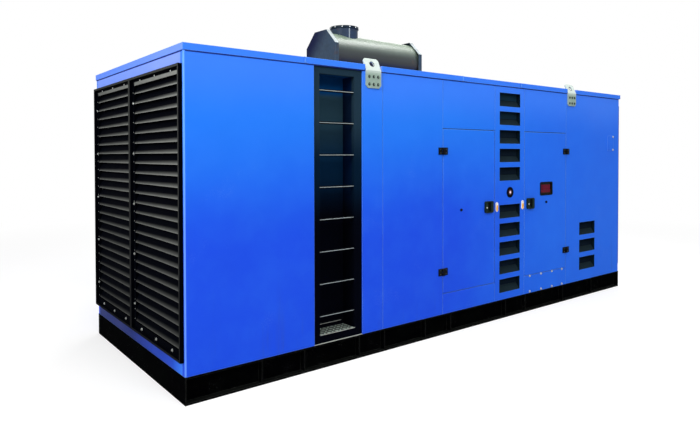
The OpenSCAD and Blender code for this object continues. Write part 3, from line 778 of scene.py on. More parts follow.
@dataclass(frozen=True)
class StopCap(Finish):
    """Red moulded button with a painted highlight in its middle.

    Attributes:
        x: Its axis along the wall.
        z: Its axis above the ground.
        pale: Radius of the painted highlight in the middle.
    """

    x: float
    z: float
    pale: float = 0.011

    def material(self) -> bpy.types.Material:
        """Builds the moulding.

        Returns:
            The material.
        """
        g = Surface(self.name)
        radius = ((g.x - self.x) ** 2.0 + (g.z - self.z) ** 2.0) ** 0.5
        haze = g.noise(90.0, 4.0)
        red = g.blend(haze, paint(80, 1, 28), paint(56, 0, 22))
        # Painted highlight: pinkish white in the middle of the button.
        middle = radius.ramp(self.pale + 0.006, self.pale)
        return g.finish(
            Base_Color=g.blend(middle, red, paint(255, 226, 236)),
            Roughness=0.28 + haze * 0.2,
            Normal=g.bump(haze, 0.0003),
        )


@dataclass(frozen=True)
class WindowGlass(Finish):
    """Smoked red pane with a black border and dust along its foot.

    Attributes:
        low: Lower corner of the pane.
        high: Upper corner.
        border: Width of the border at the sides, and at top and foot.
        tint: Colour of the pane.
    """

    low: Point
    high: Point
    border: tuple[float, float] = (0.018, 0.016)
    tint: Colour = paint(104, 0, 38)

    def material(self) -> bpy.types.Material:
        """Builds the glass.

        Returns:
            The material.
        """
        g = Surface(self.name)
        inside: Value = 1.0
        for along, axis, border in ((g.x, 0, self.border[0]), (g.z, 2, self.border[1])):
            middle = (self.low[axis] + self.high[axis]) / 2
            reach = (self.high[axis] - self.low[axis]) / 2
            inside = inside * ((along - middle).size() - reach + border).ramp(0.0, -0.004)
        dust = g.noise(40.0, 5.0, 0.7) * (g.z - self.low[2]).ramp(0.07, 0.0)
        cloud = g.noise(12.0, 3.0)
        tint = g.blend(cloud.ramp(0.4, 0.7) * 0.5, self.tint, paint(70, 8, 20))
        tint = g.blend(inside, paint(6, 9, 5), tint)
        return g.finish(
            Base_Color=g.blend(dust * 0.3, tint, paint(90, 70, 60)),
            Roughness=0.22 + dust * 0.5,
            Transmission_Weight=0.12,
            IOR=1.45,
            Specular_IOR_Level=0.02,
            Normal=g.bump(g.noise(9.0, 1.0), 0.0008),
        )


@dataclass(frozen=True)
class CappedBolt(Finish):
    """Bolt whose outer face is painted over and whose dark sides are a painted shadow ring.

    Attributes:
        face: Distance of that face from the canopy's middle plane.
        cap: Colour of the painted face.
        dark: Colour of the rest, a painted shadow ring round the face.
    """

    face: float
    cap: Colour = paint(120, 138, 128)
    dark: Colour = paint(34, 42, 42)

    def material(self) -> bpy.types.Material:
        """Builds the bolt's finish.

        Returns:
            The material.
        """
        g = Surface(self.name)
        # The outer face takes the lug's paint; the dark sides are a painted shadow ring round it.
        painted = (g.y.size() - self.face).ramp(-0.0006, 0.0)
        speck = g.noise(300.0, 3.0)
        return g.finish(
            Base_Color=g.blend(painted * (0.7 + speck * 0.3), self.dark, self.cap),
            Roughness=0.45 + speck * 0.2,
            Metallic=0.2,
            Normal=g.bump(speck, 0.0002),
            Specular_IOR_Level=0.2,
        )


@dataclass(frozen=True)
class StudioFloor(Finish):
    """Pale floor that keeps the object's shadow and turns plain white further out.

    Attributes:
        tone: The floor's own grey.
        lift: Light that the eye sees on top of it.
        near: Distance from the middle where it starts to turn white.
        far: Distance where it is white.
    """

    tone: float = 0.48
    lift: float = 0.56
    near: float = 4.5
    far: float = 12.0

    def material(self) -> bpy.types.Material:
        """Builds the floor.

        Returns:
            The material.
        """
        g = Surface(self.name)
        away = ((g.x * g.x + g.y * g.y) ** 0.5).ramp(self.near, self.far)
        seen = g.ray("Camera").higher(g.ray("Transmission"))
        distant = seen.higher(g.ray("Glossy")) * away
        lit = g.signal("ShaderNodeAddShader", 0, None, {0: g.shader, 1: g.glow(seen * self.lift)})
        sockets = {0: distant, 1: lit, 2: g.glow(1.0)}
        ends = g.signal("ShaderNodeMixShader", 0, None, sockets)
        g.feed(g.output.inputs["Surface"], ends)
        fleck = g.noise(3.0, 4.0)
        return g.finish(
            Base_Color=g.blend(fleck * 0.1, (self.tone,) * 3, (self.tone * 0.97,) * 3),
            Roughness=0.9,
            Specular_IOR_Level=0.1,
        )


class Slot(Enum):
    """Material slots of the record, listed for the new pieces."""

    CANOPY = "canopy_blue"
    TRIM = "trim_black"
    SILENCER = "silencer_grey"
    LUG = "lug_grey"
    TREAD = "tread_plate"
    HANDLE = "handle_black"
    RIM = "rim_rubber"
    MARKER = "marker_white"
    GUARD = "guard_black"


class PaintShop:
    """Holds each finish's material, built when it is first used."""

    def __init__(self, finishes: Iterable[Finish]) -> None:
        """Takes the finishes."""
        self.finishes = {finish.name: finish for finish in finishes}
        self.ready: dict[str, bpy.types.Material] = {}

    def coat(self, piece: bpy.types.Object, name: str) -> None:
        """Puts one finish on all of a piece's slots.

        Args:
            piece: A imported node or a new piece.
            name: Name of the finish.
        """
        if name not in self.ready:
            self.ready[name] = self.finishes[name].material()
        if not piece.data.materials:
            piece.data.materials.append(self.ready[name])
        for slot in piece.material_slots:
            slot.link = "OBJECT"
            slot.material = self.ready[name]


# --------------------------------------------------------------------------
# Bench work


class Side(Enum):
    """Ways that a face can look."""

    FRONT = (0.0, -1.0, 0.0)
    FAR = (1.0, 0.0, 0.0)
    TOP = (0.0, 0.0, 1.0)


class Bench:
    """Modelling moves on the piece that is being worked on."""

    def __init__(self, name: str) -> None:
        """Starts a piece with this name."""
        self.name = name
        self.piece: bpy.types.Object | None = None

    @staticmethod
    def clear() -> None:
        """Deselects everything."""
        if bpy.context.mode != "OBJECT":
            bpy.ops.object.mode_set(mode="OBJECT")
        bpy.ops.object.select_all(action="DESELECT")

    def block(self, low: Sequence[float], high: Sequence[float]) -> "Bench":
        """Starts from a block.

        Args:
            low: Its lower corner.
            high: Its upper corner.

        Returns:
            The bench itself.
        """
        self.clear()
        middle = [(a + b) / 2 for a, b in zip(low, high)]
        size = [b - a for a, b in zip(low, high)]
        bpy.ops.mesh.primitive_cube_add(size=1.0, location=middle, scale=size)
        return self._taken()

    def round(
        self,
        middle: Sequence[float],
        radius: float,
        depth: float,
        sides: int = 24,
        turn: Point = (0.0, 0.0, 0.0),
    ) -> "Bench":
        """Starts from a cylinder.

        Args:
            middle: Its middle.
            radius: Its radius.
            depth: Its length along its own axis.
            sides: Its sides.
            turn: Rotation of the axis from +Z, as Euler angles.

        Returns:
            The bench itself.
        """
        self.clear()
        bpy.ops.mesh.primitive_cylinder_add(
            vertices=sides, radius=radius, depth=depth, location=middle, rotation=turn
        )
        return self._taken()

    def sheet(self, size: float) -> "Bench":
        """Starts from a flat square on the ground.

        Args:
            size: Length of its sides.

        Returns:
            The bench itself.
        """
        self.clear()
        bpy.ops.mesh.primitive_plane_add(size=size)
        return self._taken()

    def _taken(self) -> "Bench":
        """Takes the new primitive and puts its place into its mesh.

        Returns:
            The bench itself.
        """
        self.piece = bpy.context.view_layer.objects.active
        bpy.ops.object.transform_apply(location=True, rotation=True, scale=True)
        return self._named()

    def _named(self) -> "Bench":
        """Gives the piece and its mesh the bench's name.

        Returns:
            The bench itself.
        """
        self.piece.name = self.name
        self.piece.data.name = self.name
        return self

    def _alone(self) -> None:
        """Selects this piece alone and makes it active."""
        self.clear()
        bpy.context.view_layer.objects.active = self.piece
        self.piece.select_set(True)

    @contextmanager
    def editing(self) -> Iterator[None]:
        """Edit mode on this piece, with nothing selected at the start.

        Yields:
            Nothing; the piece is back in object mode afterwards.
        """
        self._alone()
        bpy.ops.object.mode_set(mode="EDIT")
        bpy.ops.mesh.select_all(action="DESELECT")
        try:
            yield
        finally:
            bpy.ops.object.mode_set(mode="OBJECT")

    def faces(self, wanted: Callable[[Vector, Vector], bool]) -> None:
        """Selects faces, in edit mode.

        Args:
            wanted: Test of a face's middle and normal.
        """
        bpy.ops.mesh.select_mode(type="FACE")
        mesh = bmesh.from_edit_mesh(self.piece.data)
        for face in mesh.faces:
            face.select_set(bool(wanted(face.calc_center_median(), face.normal)))
        mesh.select_flush_mode()
        bmesh.update_edit_mesh(self.piece.data)

    def inset(self, width: float, depth: float = 0.0) -> None:
        """Insets the selected faces as one region."""
        bpy.ops.mesh.inset(thickness=width, depth=depth, use_even_offset=True)

    def pull(self, move: Sequence[float]) -> None:
        """Extrudes the selected region by a move."""
        bpy.ops.mesh.extrude_region_move(TRANSFORM_OT_translate={"value": tuple(move)})

    def pick(self, side: Side, across: bool = False) -> None:
        """Selects the faces of one side and, if asked, of the one across from it."""
        way = Vector(side.value)
        self.faces(lambda c, n: (abs(n.dot(way)) if across else n.dot(way)) > 0.9)

    def panel(self, side: Side, width: float, lift: float) -> None:
        """Insets the faces of one side and moves their middle out or in.

        Args:
            side: The way that the faces look.
            width: Width of the rim that stays.
            lift: How far the middle goes out.
        """
        self.pick(side)
        self.inset(width)
        self.pull(Vector(side.value) * lift)

    def frame(self, side: Side, width: float) -> "Bench":
        """Opens the piece right through from one side, so that a frame stays.

        Args:
            side: The side, which opens together with the one across from it.
            width: Width of the frame.

        Returns:
            The bench itself.
        """
        with self.editing():
            self.pick(side, across=True)
            bpy.ops.mesh.inset(thickness=width, use_individual=True)
            bpy.ops.mesh.bridge_edge_loops()
        return self

    def soften(self, width: float, steps: int = 1, angle: float = 40.0) -> "Bench":
        """Bevels the sharp edges with a modifier that is applied.

        Args:
            width: Width of the bevel.
            steps: Its segments.
            angle: Angle in degrees from which an edge counts as sharp.

        Returns:
            The bench itself.
        """
        self._alone()
        edge = self.piece.modifiers.new("edge", "BEVEL")
        edge.width = width
        edge.segments = steps
        edge.limit_method = "ANGLE"
        edge.angle_limit = math.radians(angle)
        bpy.ops.object.modifier_apply(modifier=edge.name)
        return self

    def smooth(self, angle: float = 35.0) -> "Bench":
        """Shades smooth.

        Args:
            angle: Angle in degrees below which faces are shaded as one.

        Returns:
            The bench itself.
        """
        self._alone()
        bpy.ops.object.shade_smooth_by_angle(angle=math.radians(angle))
        return self

    def repeat(self, places: Iterable[Matrix]) -> "Bench":
        """Copies the piece to each place, each copy with its own mesh, and joins them.

        Args:
            places: Where each copy goes, from the modelled one.

        Returns:
            The bench, holding the joined set.
        """
        made = []
        for place in places:
            twin = self.piece.copy()
            twin.data = self.piece.data.copy()
            twin.data.transform(place)
            bpy.context.scene.collection.objects.link(twin)
            made.append(twin)
        bpy.data.objects.remove(self.piece)
        self.piece = made[0]
        return self._joined(made[1:])

    def add(self, others: Iterable["Bench"]) -> "Bench":
        """Joins the pieces of other benches to this one."""
        return self._joined([other.piece for other in others])

    def _joined(self, others: Sequence[bpy.types.Object]) -> "Bench":
        """Joins objects to this piece.

        Args:
            others: The objects.

        Returns:
            The bench itself.
        """
        self._alone()
        for other in others:
            other.select_set(True)
        if others:
            bpy.ops.object.join()
        return self._named()


def stand(normal: Sequence[float], at: Sequence[float], turn: float = 0.0) -> Matrix:
    """Place of a fastener that is modelled standing on +Z at the origin.

    Args:
        normal: Direction it stands in.
        at: Where its foot goes.
        turn: Spin about its own axis, in degrees.

    Returns:
        The matrix.
    """
    tip = Vector(normal).to_track_quat("Z", "Y").to_matrix().to_4x4()
    return Matrix.Translation(Vector(at)) @ tip @ Matrix.Rotation(math.radians(turn), 4, "Z")


@dataclass
class Workshop:
    """What every sub-assembly needs.

    Attributes:
        shop: The paints.
        nodes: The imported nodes.
        shell: The canopy's shared sizes.
    """

    shop: PaintShop
    nodes: Mapping[str, bpy.types.Object]
    shell: Shell

    def fit(self, bench: Bench, finish: str, slot: Slot, body: str = "canopy") -> None:
        """Paints a piece and lets it ride.

        Args:
            bench: The finished piece.
            finish: Name of its finish.
            slot: The record's slot it takes; not used.
            body: Body it moves with.
        """
        self.shop.coat(bench.piece, finish)
        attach(bench.piece, body)
        log.info("%s rides on %s: %d faces", bench.name, body, len(bench.piece.data.polygons))

    def build(self) -> None:
        """Adds the new pieces of this sub-assembly, if it has any."""

    def dress(self) -> None:
        """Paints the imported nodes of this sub-assembly, if it has any."""

    def coat_nodes(self, finish: str, *names: str) -> None:
        """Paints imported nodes."""
        for name in names:
            self.shop.coat(self.nodes[name], finish)


# --------------------------------------------------------------------------
# Fasteners


@dataclass(frozen=True)
class Fastener:
    """Hexagon bolt on a round washer, standing on +Z, or a round head.

    Attributes:
        across: Width across the bolt's flats.
        head: Height of its head.
        washer: Radius of the washer.
        washer_t: Thickness of the washer.
    """

    across: float = 0.019
    head: float = 0.008
    washer: float = 0.017
    washer_t: float = 0.0025

    def bolt(self, name: str) -> Bench:
        """Models one bolt head with its washer.

        Args:
            name: Piece name.

        Returns:
            The bolt.
        """
        work = Bench(name).round((0, 0, self.washer_t / 2), self.washer, self.washer_t, 20)
        with work.editing():
            work.panel(Side.TOP, self.washer - self.across * 0.5, 0.0004)
        hexagon = Bench(name + "_head").round(
            (0, 0, self.washer_t + self.head / 2), self.across / math.sqrt(3), self.head, 6
        )
        with hexagon.editing():
            hexagon.panel(Side.TOP, self.across * 0.10, self.head * 0.10)
            bpy.ops.transform.resize(value=(0.93, 0.93, 1.0))
        return work.add([hexagon]).soften(0.0006)

    @staticmethod
    def dome(name: str, radius: float, height: float) -> Bench:
        """Models one round-headed rivet or screw.

        Args:
            name: Piece name.
            radius: Radius of the head.
            height: Its height.

        Returns:
            The head.
        """
        work = Bench(name).round((0, 0, height * 0.2), radius, height * 0.4, 12)
        with work.editing():
            for width, lift in ((0.22, 0.33), (0.30, 0.20), (0.25, 0.07)):
                work.faces(lambda c, n: n.z > 0.98 and abs(c.x) + abs(c.y) < 1e-5)
                work.inset(radius * width, height * lift)
        return work.smooth(50)


# --------------------------------------------------------------------------
# Sub-assemblies


@dataclass
class Canopy(Workshop):
    """Walls, roof, rails and the door leaves, with sealant, seam strips and joint tapes."""

    lug_room: float = 0.092
    bead_h: float = 0.008
    bead_out: float = 0.0035
    bead_in: float = 0.001
    bead_end: float = 0.016
    gap: float = 0.0002
    seams: tuple[float, ...] = (-0.3935, 0.4025, 0.9165, 1.7425)
    strip_w: float = 0.024
    strip_t: float = 0.0014
    strip_rim: float = 0.006
    strip_bow: float = 0.0006
    tape_w: float = 0.010
    tape_t: float = 0.0015
    tape_hem: float = 0.004

    def seam_strips(self) -> None:
        """Tapes the inside of the panel joints beside the doorways."""
        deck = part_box("floor_deck")[1][2] + 0.001
        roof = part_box("roof_panel_1")[0][2] - 0.002
        half = self.strip_w / 2
        work = Bench("seam_strips").block((-half, 0.0, deck), (half, self.strip_t, roof))
        with work.editing():
            work.panel(Side.FRONT, self.strip_rim, self.strip_bow)
        work.soften(0.0003)
        inner = self.shell.half_width - self.shell.wall - self.strip_t - self.gap
        turned = Matrix.Rotation(math.pi, 4, "Z")
        places = []
        for x in self.seams:
            places.append(Matrix.Translation((x, inner, 0)))
            places.append(Matrix.Translation((x, -inner, 0)) @ turned)
        self.fit(work.repeat(places), "seal_rubber", Slot.TRIM)

    def joint_tapes(self) -> None:
        """Lays a pale tape over each joint of the roof, folded down at both eaves."""
        low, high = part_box("roof_panel_2")
        half, t, eave, top = self.tape_w / 2, self.tape_t, high[1], high[2]
        runs = [((-half, -eave - t, top), (half, eave + t, top + t))]
        for out in (-1, 1):
            near, far = sorted((out * eave, out * (eave + t)))
            runs.append(((-half, near, low[2] + self.tape_hem), (half, far, top)))
        tapes = [Bench("roof_joint_tapes").block(*run).soften(t / 4, 2) for run in runs]
        places = []
        for k in (1, 2, 3):
            joint = (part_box(f"roof_panel_{k}")[1][0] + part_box(f"roof_panel_{k + 1}")[0][0]) / 2
            places.append(Matrix.Translation((joint, 0, 0)))
        tapes[0].add(tapes[1:]).repeat(places)
        self.fit(tapes[0], "joint_tape", Slot.CANOPY)

    def sealant(self) -> None:
        """Runs a bead of sealant along the joint of walls and roof, with room at the lugs; its dark
        blue also stands in for the shadow line under the roof edge.
        """
        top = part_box("roof_panel_1")[0][2] - self.gap
        long, wide = self.shell.half_length, self.shell.half_width
        stops = [-long + self.bead_end]
        for x in self.shell.lug_x:
            stops += [x - self.lug_room, x + self.lug_room]
        stops.append(long - self.bead_end)
        runs = []
        for out in (-1, 1):
            near, far = sorted(out * (wide + rise) for rise in (-self.bead_in, self.bead_out))
            for start, end in zip(stops[::2], stops[1::2]):
                runs.append(((start, near), (end, far)))
            near, far = sorted(out * (long + rise) for rise in (-self.bead_in, self.bead_out))
            runs.append(((near, -wide + self.bead_end), (far, wide - self.bead_end)))
        beads = []
        for low, high in runs:
            bead = Bench("roof_sealant").block((*low, top - self.bead_h), (*high, top))
            beads.append(bead.soften(0.0012, 2))
        self.fit(beads[0].add(beads[1:]).smooth(), "roof_sealant", Slot.TRIM)

    def build(self) -> None:
        """Seals and tapes the joints."""
        self.sealant()
        self.seam_strips()
        self.joint_tapes()

    def dress(self) -> None:
        """Paints the walls, the roof, the rails and the leaves."""
        self.coat_nodes(
            "canopy_paint",
            "front_panel_left", "front_panel_post", "front_panel_middle",
            "front_door_surrounds", "front_vent_panel", "front_panel_right",
            "back_panel_left", "back_door_surrounds", "back_panel_middle",
            "back_panel_right",
        )
        self.coat_nodes("roof_paint", *(f"roof_panel_{k}" for k in range(1, 5)))
        self.coat_nodes("end_paint", "end_rails")
        self.coat_nodes("door_paint", "door_left", "door_right", "back_doors", "cover_plate")
        self.coat_nodes("deck_coat", "floor_deck")
        self.coat_nodes("trim_coat", "end_posts")


@dataclass
class Skid(Workshop):
    """The channel-rail base, which has no new pieces."""

    def dress(self) -> None:
        """Paints the base."""
        self.coat_nodes("skid_coat", "skid_rail_front", "skid_rail_back", "skid_cross_members")


@dataclass
class Louvres(Workshop):
    """Bolts, rivets and filter mats of the louvred ends."""

    edge: float = 0.018
    module_gap: float = 0.002
    blade_first: float = 0.079
    pitch: float = 0.0815
    blades: int = 24
    face_in: float = 0.026
    row_in: float = 0.018
    rivet_up: float = 0.012
    screw_down: float = 0.013
    bolt_up: float = 0.020
    bolt_spread: float = 0.325
    pair_top: float = 0.21
    pair_drop: float = 0.415
    pairs: int = 5
    mat_in: float = 0.0740
    mat_t: float = 0.0060
    mat_side: float = 0.0560
    mat_frame: float = 0.028
    bolt: Fastener = Fastener(0.013, 0.006, 0.012, 0.002)

    def fixings(self, end: str, out: int) -> None:
        """Adds the bolts, screws and rivets of one end.

        Args:
            end: Word for the end, used in names.
            out: Direction that the end faces along X.
        """
        low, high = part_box(f"louvres_{end}_end")
        face = (low[0] if out < 0 else high[0]) - out * self.face_in
        width = (high[1] - low[1] - self.module_gap) / 2
        bolts, screws, rivets = [], [], []
        for start in (low[1], low[1] + width + self.module_gap):
            for offset in (-self.bolt_spread, 0.0, self.bolt_spread):
                middle = start + width / 2 + offset
                screws.append((face, middle, high[2] - self.edge - self.screw_down))
                bolts.append((face, middle, low[2] + self.edge + self.bolt_up))
            row = self.edge + self.row_in
            for side in (start + row, start + width - row):
                for k in range(self.pairs):
                    bolts.append((face, side, high[2] - self.pair_top - k * self.pair_drop))
                for k in range(self.blades):
                    foot = low[2] + self.blade_first + k * self.pitch
                    rivets.append((face, side, foot + self.rivet_up))
        for work, spots, turn, finish in (
            (self.bolt.bolt(f"louvre_bolts_{end}"), bolts, 17.0, "zinc"),
            (self.bolt.dome(f"louvre_screws_{end}", 0.0075, 0.004), screws, 0.0, "zinc"),
            (self.bolt.dome(f"louvre_rivets_{end}", 0.0042, 0.0028), rivets, 0.0, "dull_zinc"),
        ):
            work.repeat(stand((out, 0, 0), p, turn * i) for i, p in enumerate(spots))
            self.fit(work, finish, Slot.TRIM)

    def filter_mats(self, end: str, out: int) -> None:
        """Hangs a near-black filter mat behind both modules of one end, in a folded frame; its
        darkness stands in for the shade behind the blades.

        Args:
            end: Word for the end, used in names.
            out: Direction that the end faces along X.
        """
        low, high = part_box(f"louvres_{end}_end")
        outer = (high[0] if out > 0 else low[0]) - out * self.mat_in
        near, far = sorted((outer, outer - out * self.mat_t))
        mats = Bench(f"filter_mats_{end}").block(
            (near, low[1] + self.mat_side, low[2] + 0.001),
            (far, high[1] - self.mat_side, high[2] - 0.001),
        )
        with mats.editing():
            bpy.ops.mesh.select_all(action="SELECT")
            bpy.ops.mesh.bisect(plane_co=(0.0, 0.0, 1.0), plane_no=(0.0, 1.0, 0.0))
            mats.pick(Side.FAR, across=True)
            bpy.ops.mesh.inset(thickness=self.mat_frame, depth=-0.0015, use_individual=True)
        self.fit(mats.soften(0.0006), "mat_fleece", Slot.TRIM)

    def build(self) -> None:
        """Fits out both ends."""
        for end, out in (("near", -1), ("far", 1)):
            self.fixings(end, out)
            self.filter_mats(end, out)

    def dress(self) -> None:
        """Paints the louvres."""
        self.coat_nodes("louvre_coat", "louvres_near_end", "louvres_far_end")


@dataclass
class Vents(Workshop):
    """Black throats in the wall's vent openings, with a rain mat behind each sill."""

    width: float = 0.354
    column_x: float = 0.6595
    column_tops: tuple[float, ...] = (2.408, 1.213)
    column_count: int = 5
    column_pitch: float = 0.1985
    column_h: float = 0.143
    low_x: float = 2.220
    low_tops: tuple[float, ...] = (0.915, 0.700, 0.485)
    low_h: float = 0.154
    sheet: float = 0.0016
    proud: float = 0.0012
    clear: float = 0.0003
    mat_t: float = 0.004
    mat_gap: float = 0.0024
    mat_back: float = 0.001
    mat_hem: float = 0.006
    mat_sink: float = 0.0008
    sill_top: float = 0.0665

    def throat(self, name: str, height: float) -> Bench:
        """Models one throat: a folded sheet frame that lines an opening.

        Args:
            name: Name of the set.
            height: Height of the opening.

        Returns:
            The throat, its opening's middle at x = z = 0 on the wall's face.
        """
        half_w, half_h = self.width / 2 - self.clear, height / 2 - self.clear
        face = -self.shell.half_width
        work = Bench(name).block(
            (-half_w, face - self.proud, -half_h), (half_w, face + self.shell.wall, half_h)
        )
        return work.frame(Side.FRONT, self.sheet)

    def mat(self, name: str, height: float) -> Bench:
        """Models one rain mat: a hemmed pad at the back of a throat, above its sill.

        Args:
            name: Name of the set.
            height: Height of the opening.

        Returns:
            The mat, its opening's middle at x = z = 0 on the wall's face.
        """
        half_w = self.width / 2 - self.mat_gap
        back = -self.shell.half_width + self.shell.wall - self.mat_back
        work = Bench(name).block(
            (-half_w, back - self.mat_t, self.sill_top - height / 2),
            (half_w, back, height / 2 - self.mat_gap),
        )
        with work.editing():
            work.pick(Side.FRONT)
            work.inset(self.mat_hem, -self.mat_sink)
        return work.soften(0.0005)

    def build(self) -> None:
        """Sets a throat and a mat in each opening."""
        steps = [k * self.column_pitch for k in range(self.column_count)]
        column = [top - step for top in self.column_tops for step in steps]
        for word, x, height, tops in (
            ("vent", self.column_x, self.column_h, column),
            ("low_vent", self.low_x, self.low_h, self.low_tops),
        ):
            places = [Matrix.Translation((x, 0, top - height / 2)) for top in tops]
            throats = self.throat(f"{word}_throats", height)
            self.fit(throats.repeat(places), "vent_coat", Slot.TRIM)
            mats = self.mat(f"{word}_mats", height)
            self.fit(mats.repeat(places), "rain_mat", Slot.TRIM)

    def dress(self) -> None:
        """Paints the sills."""
        self.coat_nodes("vent_coat", "vent_sills")


@dataclass
class Doors(Workshop):
    """Hinge screws, door seals, lock barrels and what lies behind the window."""

    pins: tuple[tuple[float, int], ...] = ((-0.392, 1), (1.741, -1))
    hinge_rows: tuple[float, float] = (0.612, 1.785)
    screw_in: float = 0.038
    screw_up: float = 0.018
    leaf_face: float = 1.078
    tray_back: float = 1.0478
    stop_face: float = 1.042
    seal_in: float = 0.002
    seal_w: float = 0.009
    barrel: Point = (-0.047, -0.0005, -0.004)
    barrel_r: float = 0.0085
    barrel_t: float = 0.005
    barrel_rim: float = 0.0018
    key_share: Point = (0.16, 1.0, 0.62)
    key_sink: float = 0.0026
    fascia_back: float = 0.020
    fascia_in: float = 0.002
    fascia_t: float = 0.006
    screen_at: tuple[float, float] = (-0.028, 0.012)
    screen_rim: float = 0.022
    screen_half: tuple[float, float] = (0.062, 0.022)
    key_count: int = 7
    key_first: tuple[float, float] = (0.030, 0.016)
    key_pitch: float = 0.022

    def hinge_screws(self, name: str, body: str, out: int, sides: Iterable[float]) -> None:
        """Puts two round-headed screws on each hinge leaf.

        Args:
            name: Piece name.
            body: Body the leaves move with.
            out: Direction that the wall faces along Y.
            sides: X of each row of screws.
        """
        heads = Fastener.dome(name, 0.0052, 0.0022)
        heads.repeat(
            stand((0, out, 0), (x, out * self.leaf_face, z + up))
            for x in sides
            for z in self.hinge_rows
            for up in (-self.screw_up, self.screw_up)
        )
        self.fit(heads, "dark_bolt", Slot.TRIM, body)

    def seals(self) -> None:
        """Lays a closed rubber seal round each doorway, between the stops and the leaf."""
        for side, out in (("front", -1), ("back", 1)):
            near, far = sorted((out * self.tray_back, out * self.stop_face))
            for k, leaf in enumerate(("door_left", "door_right")):
                low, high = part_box(leaf)
                seal = Bench(f"door_seal_{side}_{k + 1}").block(
                    (low[0] + self.seal_in, near, low[2] + self.seal_in),
                    (high[0] - self.seal_in, far, high[2] - self.seal_in),
                )
                seal.frame(Side.FRONT, self.seal_w).soften(0.0016, 2).smooth()
                self.fit(seal, "seal_rubber", Slot.RIM)

    def lock(self, side: str) -> None:
        """Adds the lock barrel of a handle, with its keyway.

        Args:
            side: left or right.
        """
        low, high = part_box(f"handle_housing_{side}")
        spot = ((low[0] + high[0]) / 2, low[1], (low[2] + high[2]) / 2)
        middle = [a + b for a, b in zip(spot, self.barrel)]
        work = Bench(f"lock_barrel_{side}").round(
            middle, self.barrel_r, self.barrel_t, turn=(math.pi / 2, 0, 0)
        )
        with work.editing():
            work.panel(Side.FRONT, self.barrel_rim, -0.0008)
            bpy.ops.transform.resize(value=self.key_share)
            work.pull((0, self.key_sink, 0))
        self.fit(work.soften(0.0004), "zinc", Slot.HANDLE, f"door_{side}")

    def fascia(self) -> None:
        """Fits the control fascia, its screen and its keys behind the window."""
        low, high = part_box("window_pane")
        front = high[1] + self.fascia_back
        x0, x1 = low[0] + self.fascia_in, high[0] - self.fascia_in
        z0, z1 = low[2] + self.fascia_in, high[2] - self.fascia_in
        board = Bench("control_fascia").block((x0, front, z0), (x1, front + self.fascia_t, z1))
        with board.editing():
            board.panel(Side.FRONT, 0.006, -0.0015)
            board.inset(self.screen_rim)
            bpy.ops.transform.translate(value=(self.screen_at[0], 0, self.screen_at[1]))
            board.pull((0, 0.003, 0))
        self.fit(board.soften(0.0006), "fascia_plastic", Slot.GUARD, "door_right")
        x, z = (x0 + x1) / 2 + self.screen_at[0], (z0 + z1) / 2 + self.screen_at[1]
        half_w, half_h = self.screen_half
        screen = Bench("control_screen").block(
            (x - half_w, front + 0.0032, z - half_h), (x + half_w, front + 0.0044, z + half_h)
        )
        with screen.editing():
            screen.panel(Side.FRONT, 0.002, -0.0004)
        self.fit(screen, "screen", Slot.GUARD, "door_right")
        keys = Fastener.dome("control_keys", 0.0052, 0.003)
        x, z = x0 + self.key_first[0], z0 + self.key_first[1]
        keys.repeat(
            stand((0, -1, 0), (x + self.key_pitch * k, front + 0.0014, z))
            for k in range(self.key_count)
        )
        self.fit(keys, "guard_plastic", Slot.GUARD, "door_right")

    def build(self) -> None:
        """Adds the fittings."""
        wall = [x - self.screw_in * side for x, side in self.pins]
        leaf = [x + self.screw_in * side for x, side in self.pins]
        self.hinge_screws("hinge_screws_wall", "canopy", -1, wall)
        self.hinge_screws("hinge_screws_left", "door_left", -1, leaf[:1])
        self.hinge_screws("hinge_screws_right", "door_right", -1, leaf[1:])
        self.hinge_screws("hinge_screws_back", "canopy", 1, wall + leaf)
        self.seals()
        self.lock("left")
        self.lock("right")
        self.fascia()

    def dress(self) -> None:
        """Paints the fittings."""
        self.coat_nodes(
            "hinge_coat", "hinge_posts", "door_left_hinges", "door_right_hinges", "back_door_fittings"
        )
        self.coat_nodes("handle_plastic", "handle_housing_left", "handle_housing_right")
        self.coat_nodes("grip_plastic", "handle_grip_left", "handle_grip_right")
        self.coat_nodes("buffer_rubber", "door_left_buffer", "door_right_buffer")
        self.coat_nodes("rim_rubber", "window_rim")
        self.coat_nodes("window_glass", "window_pane")


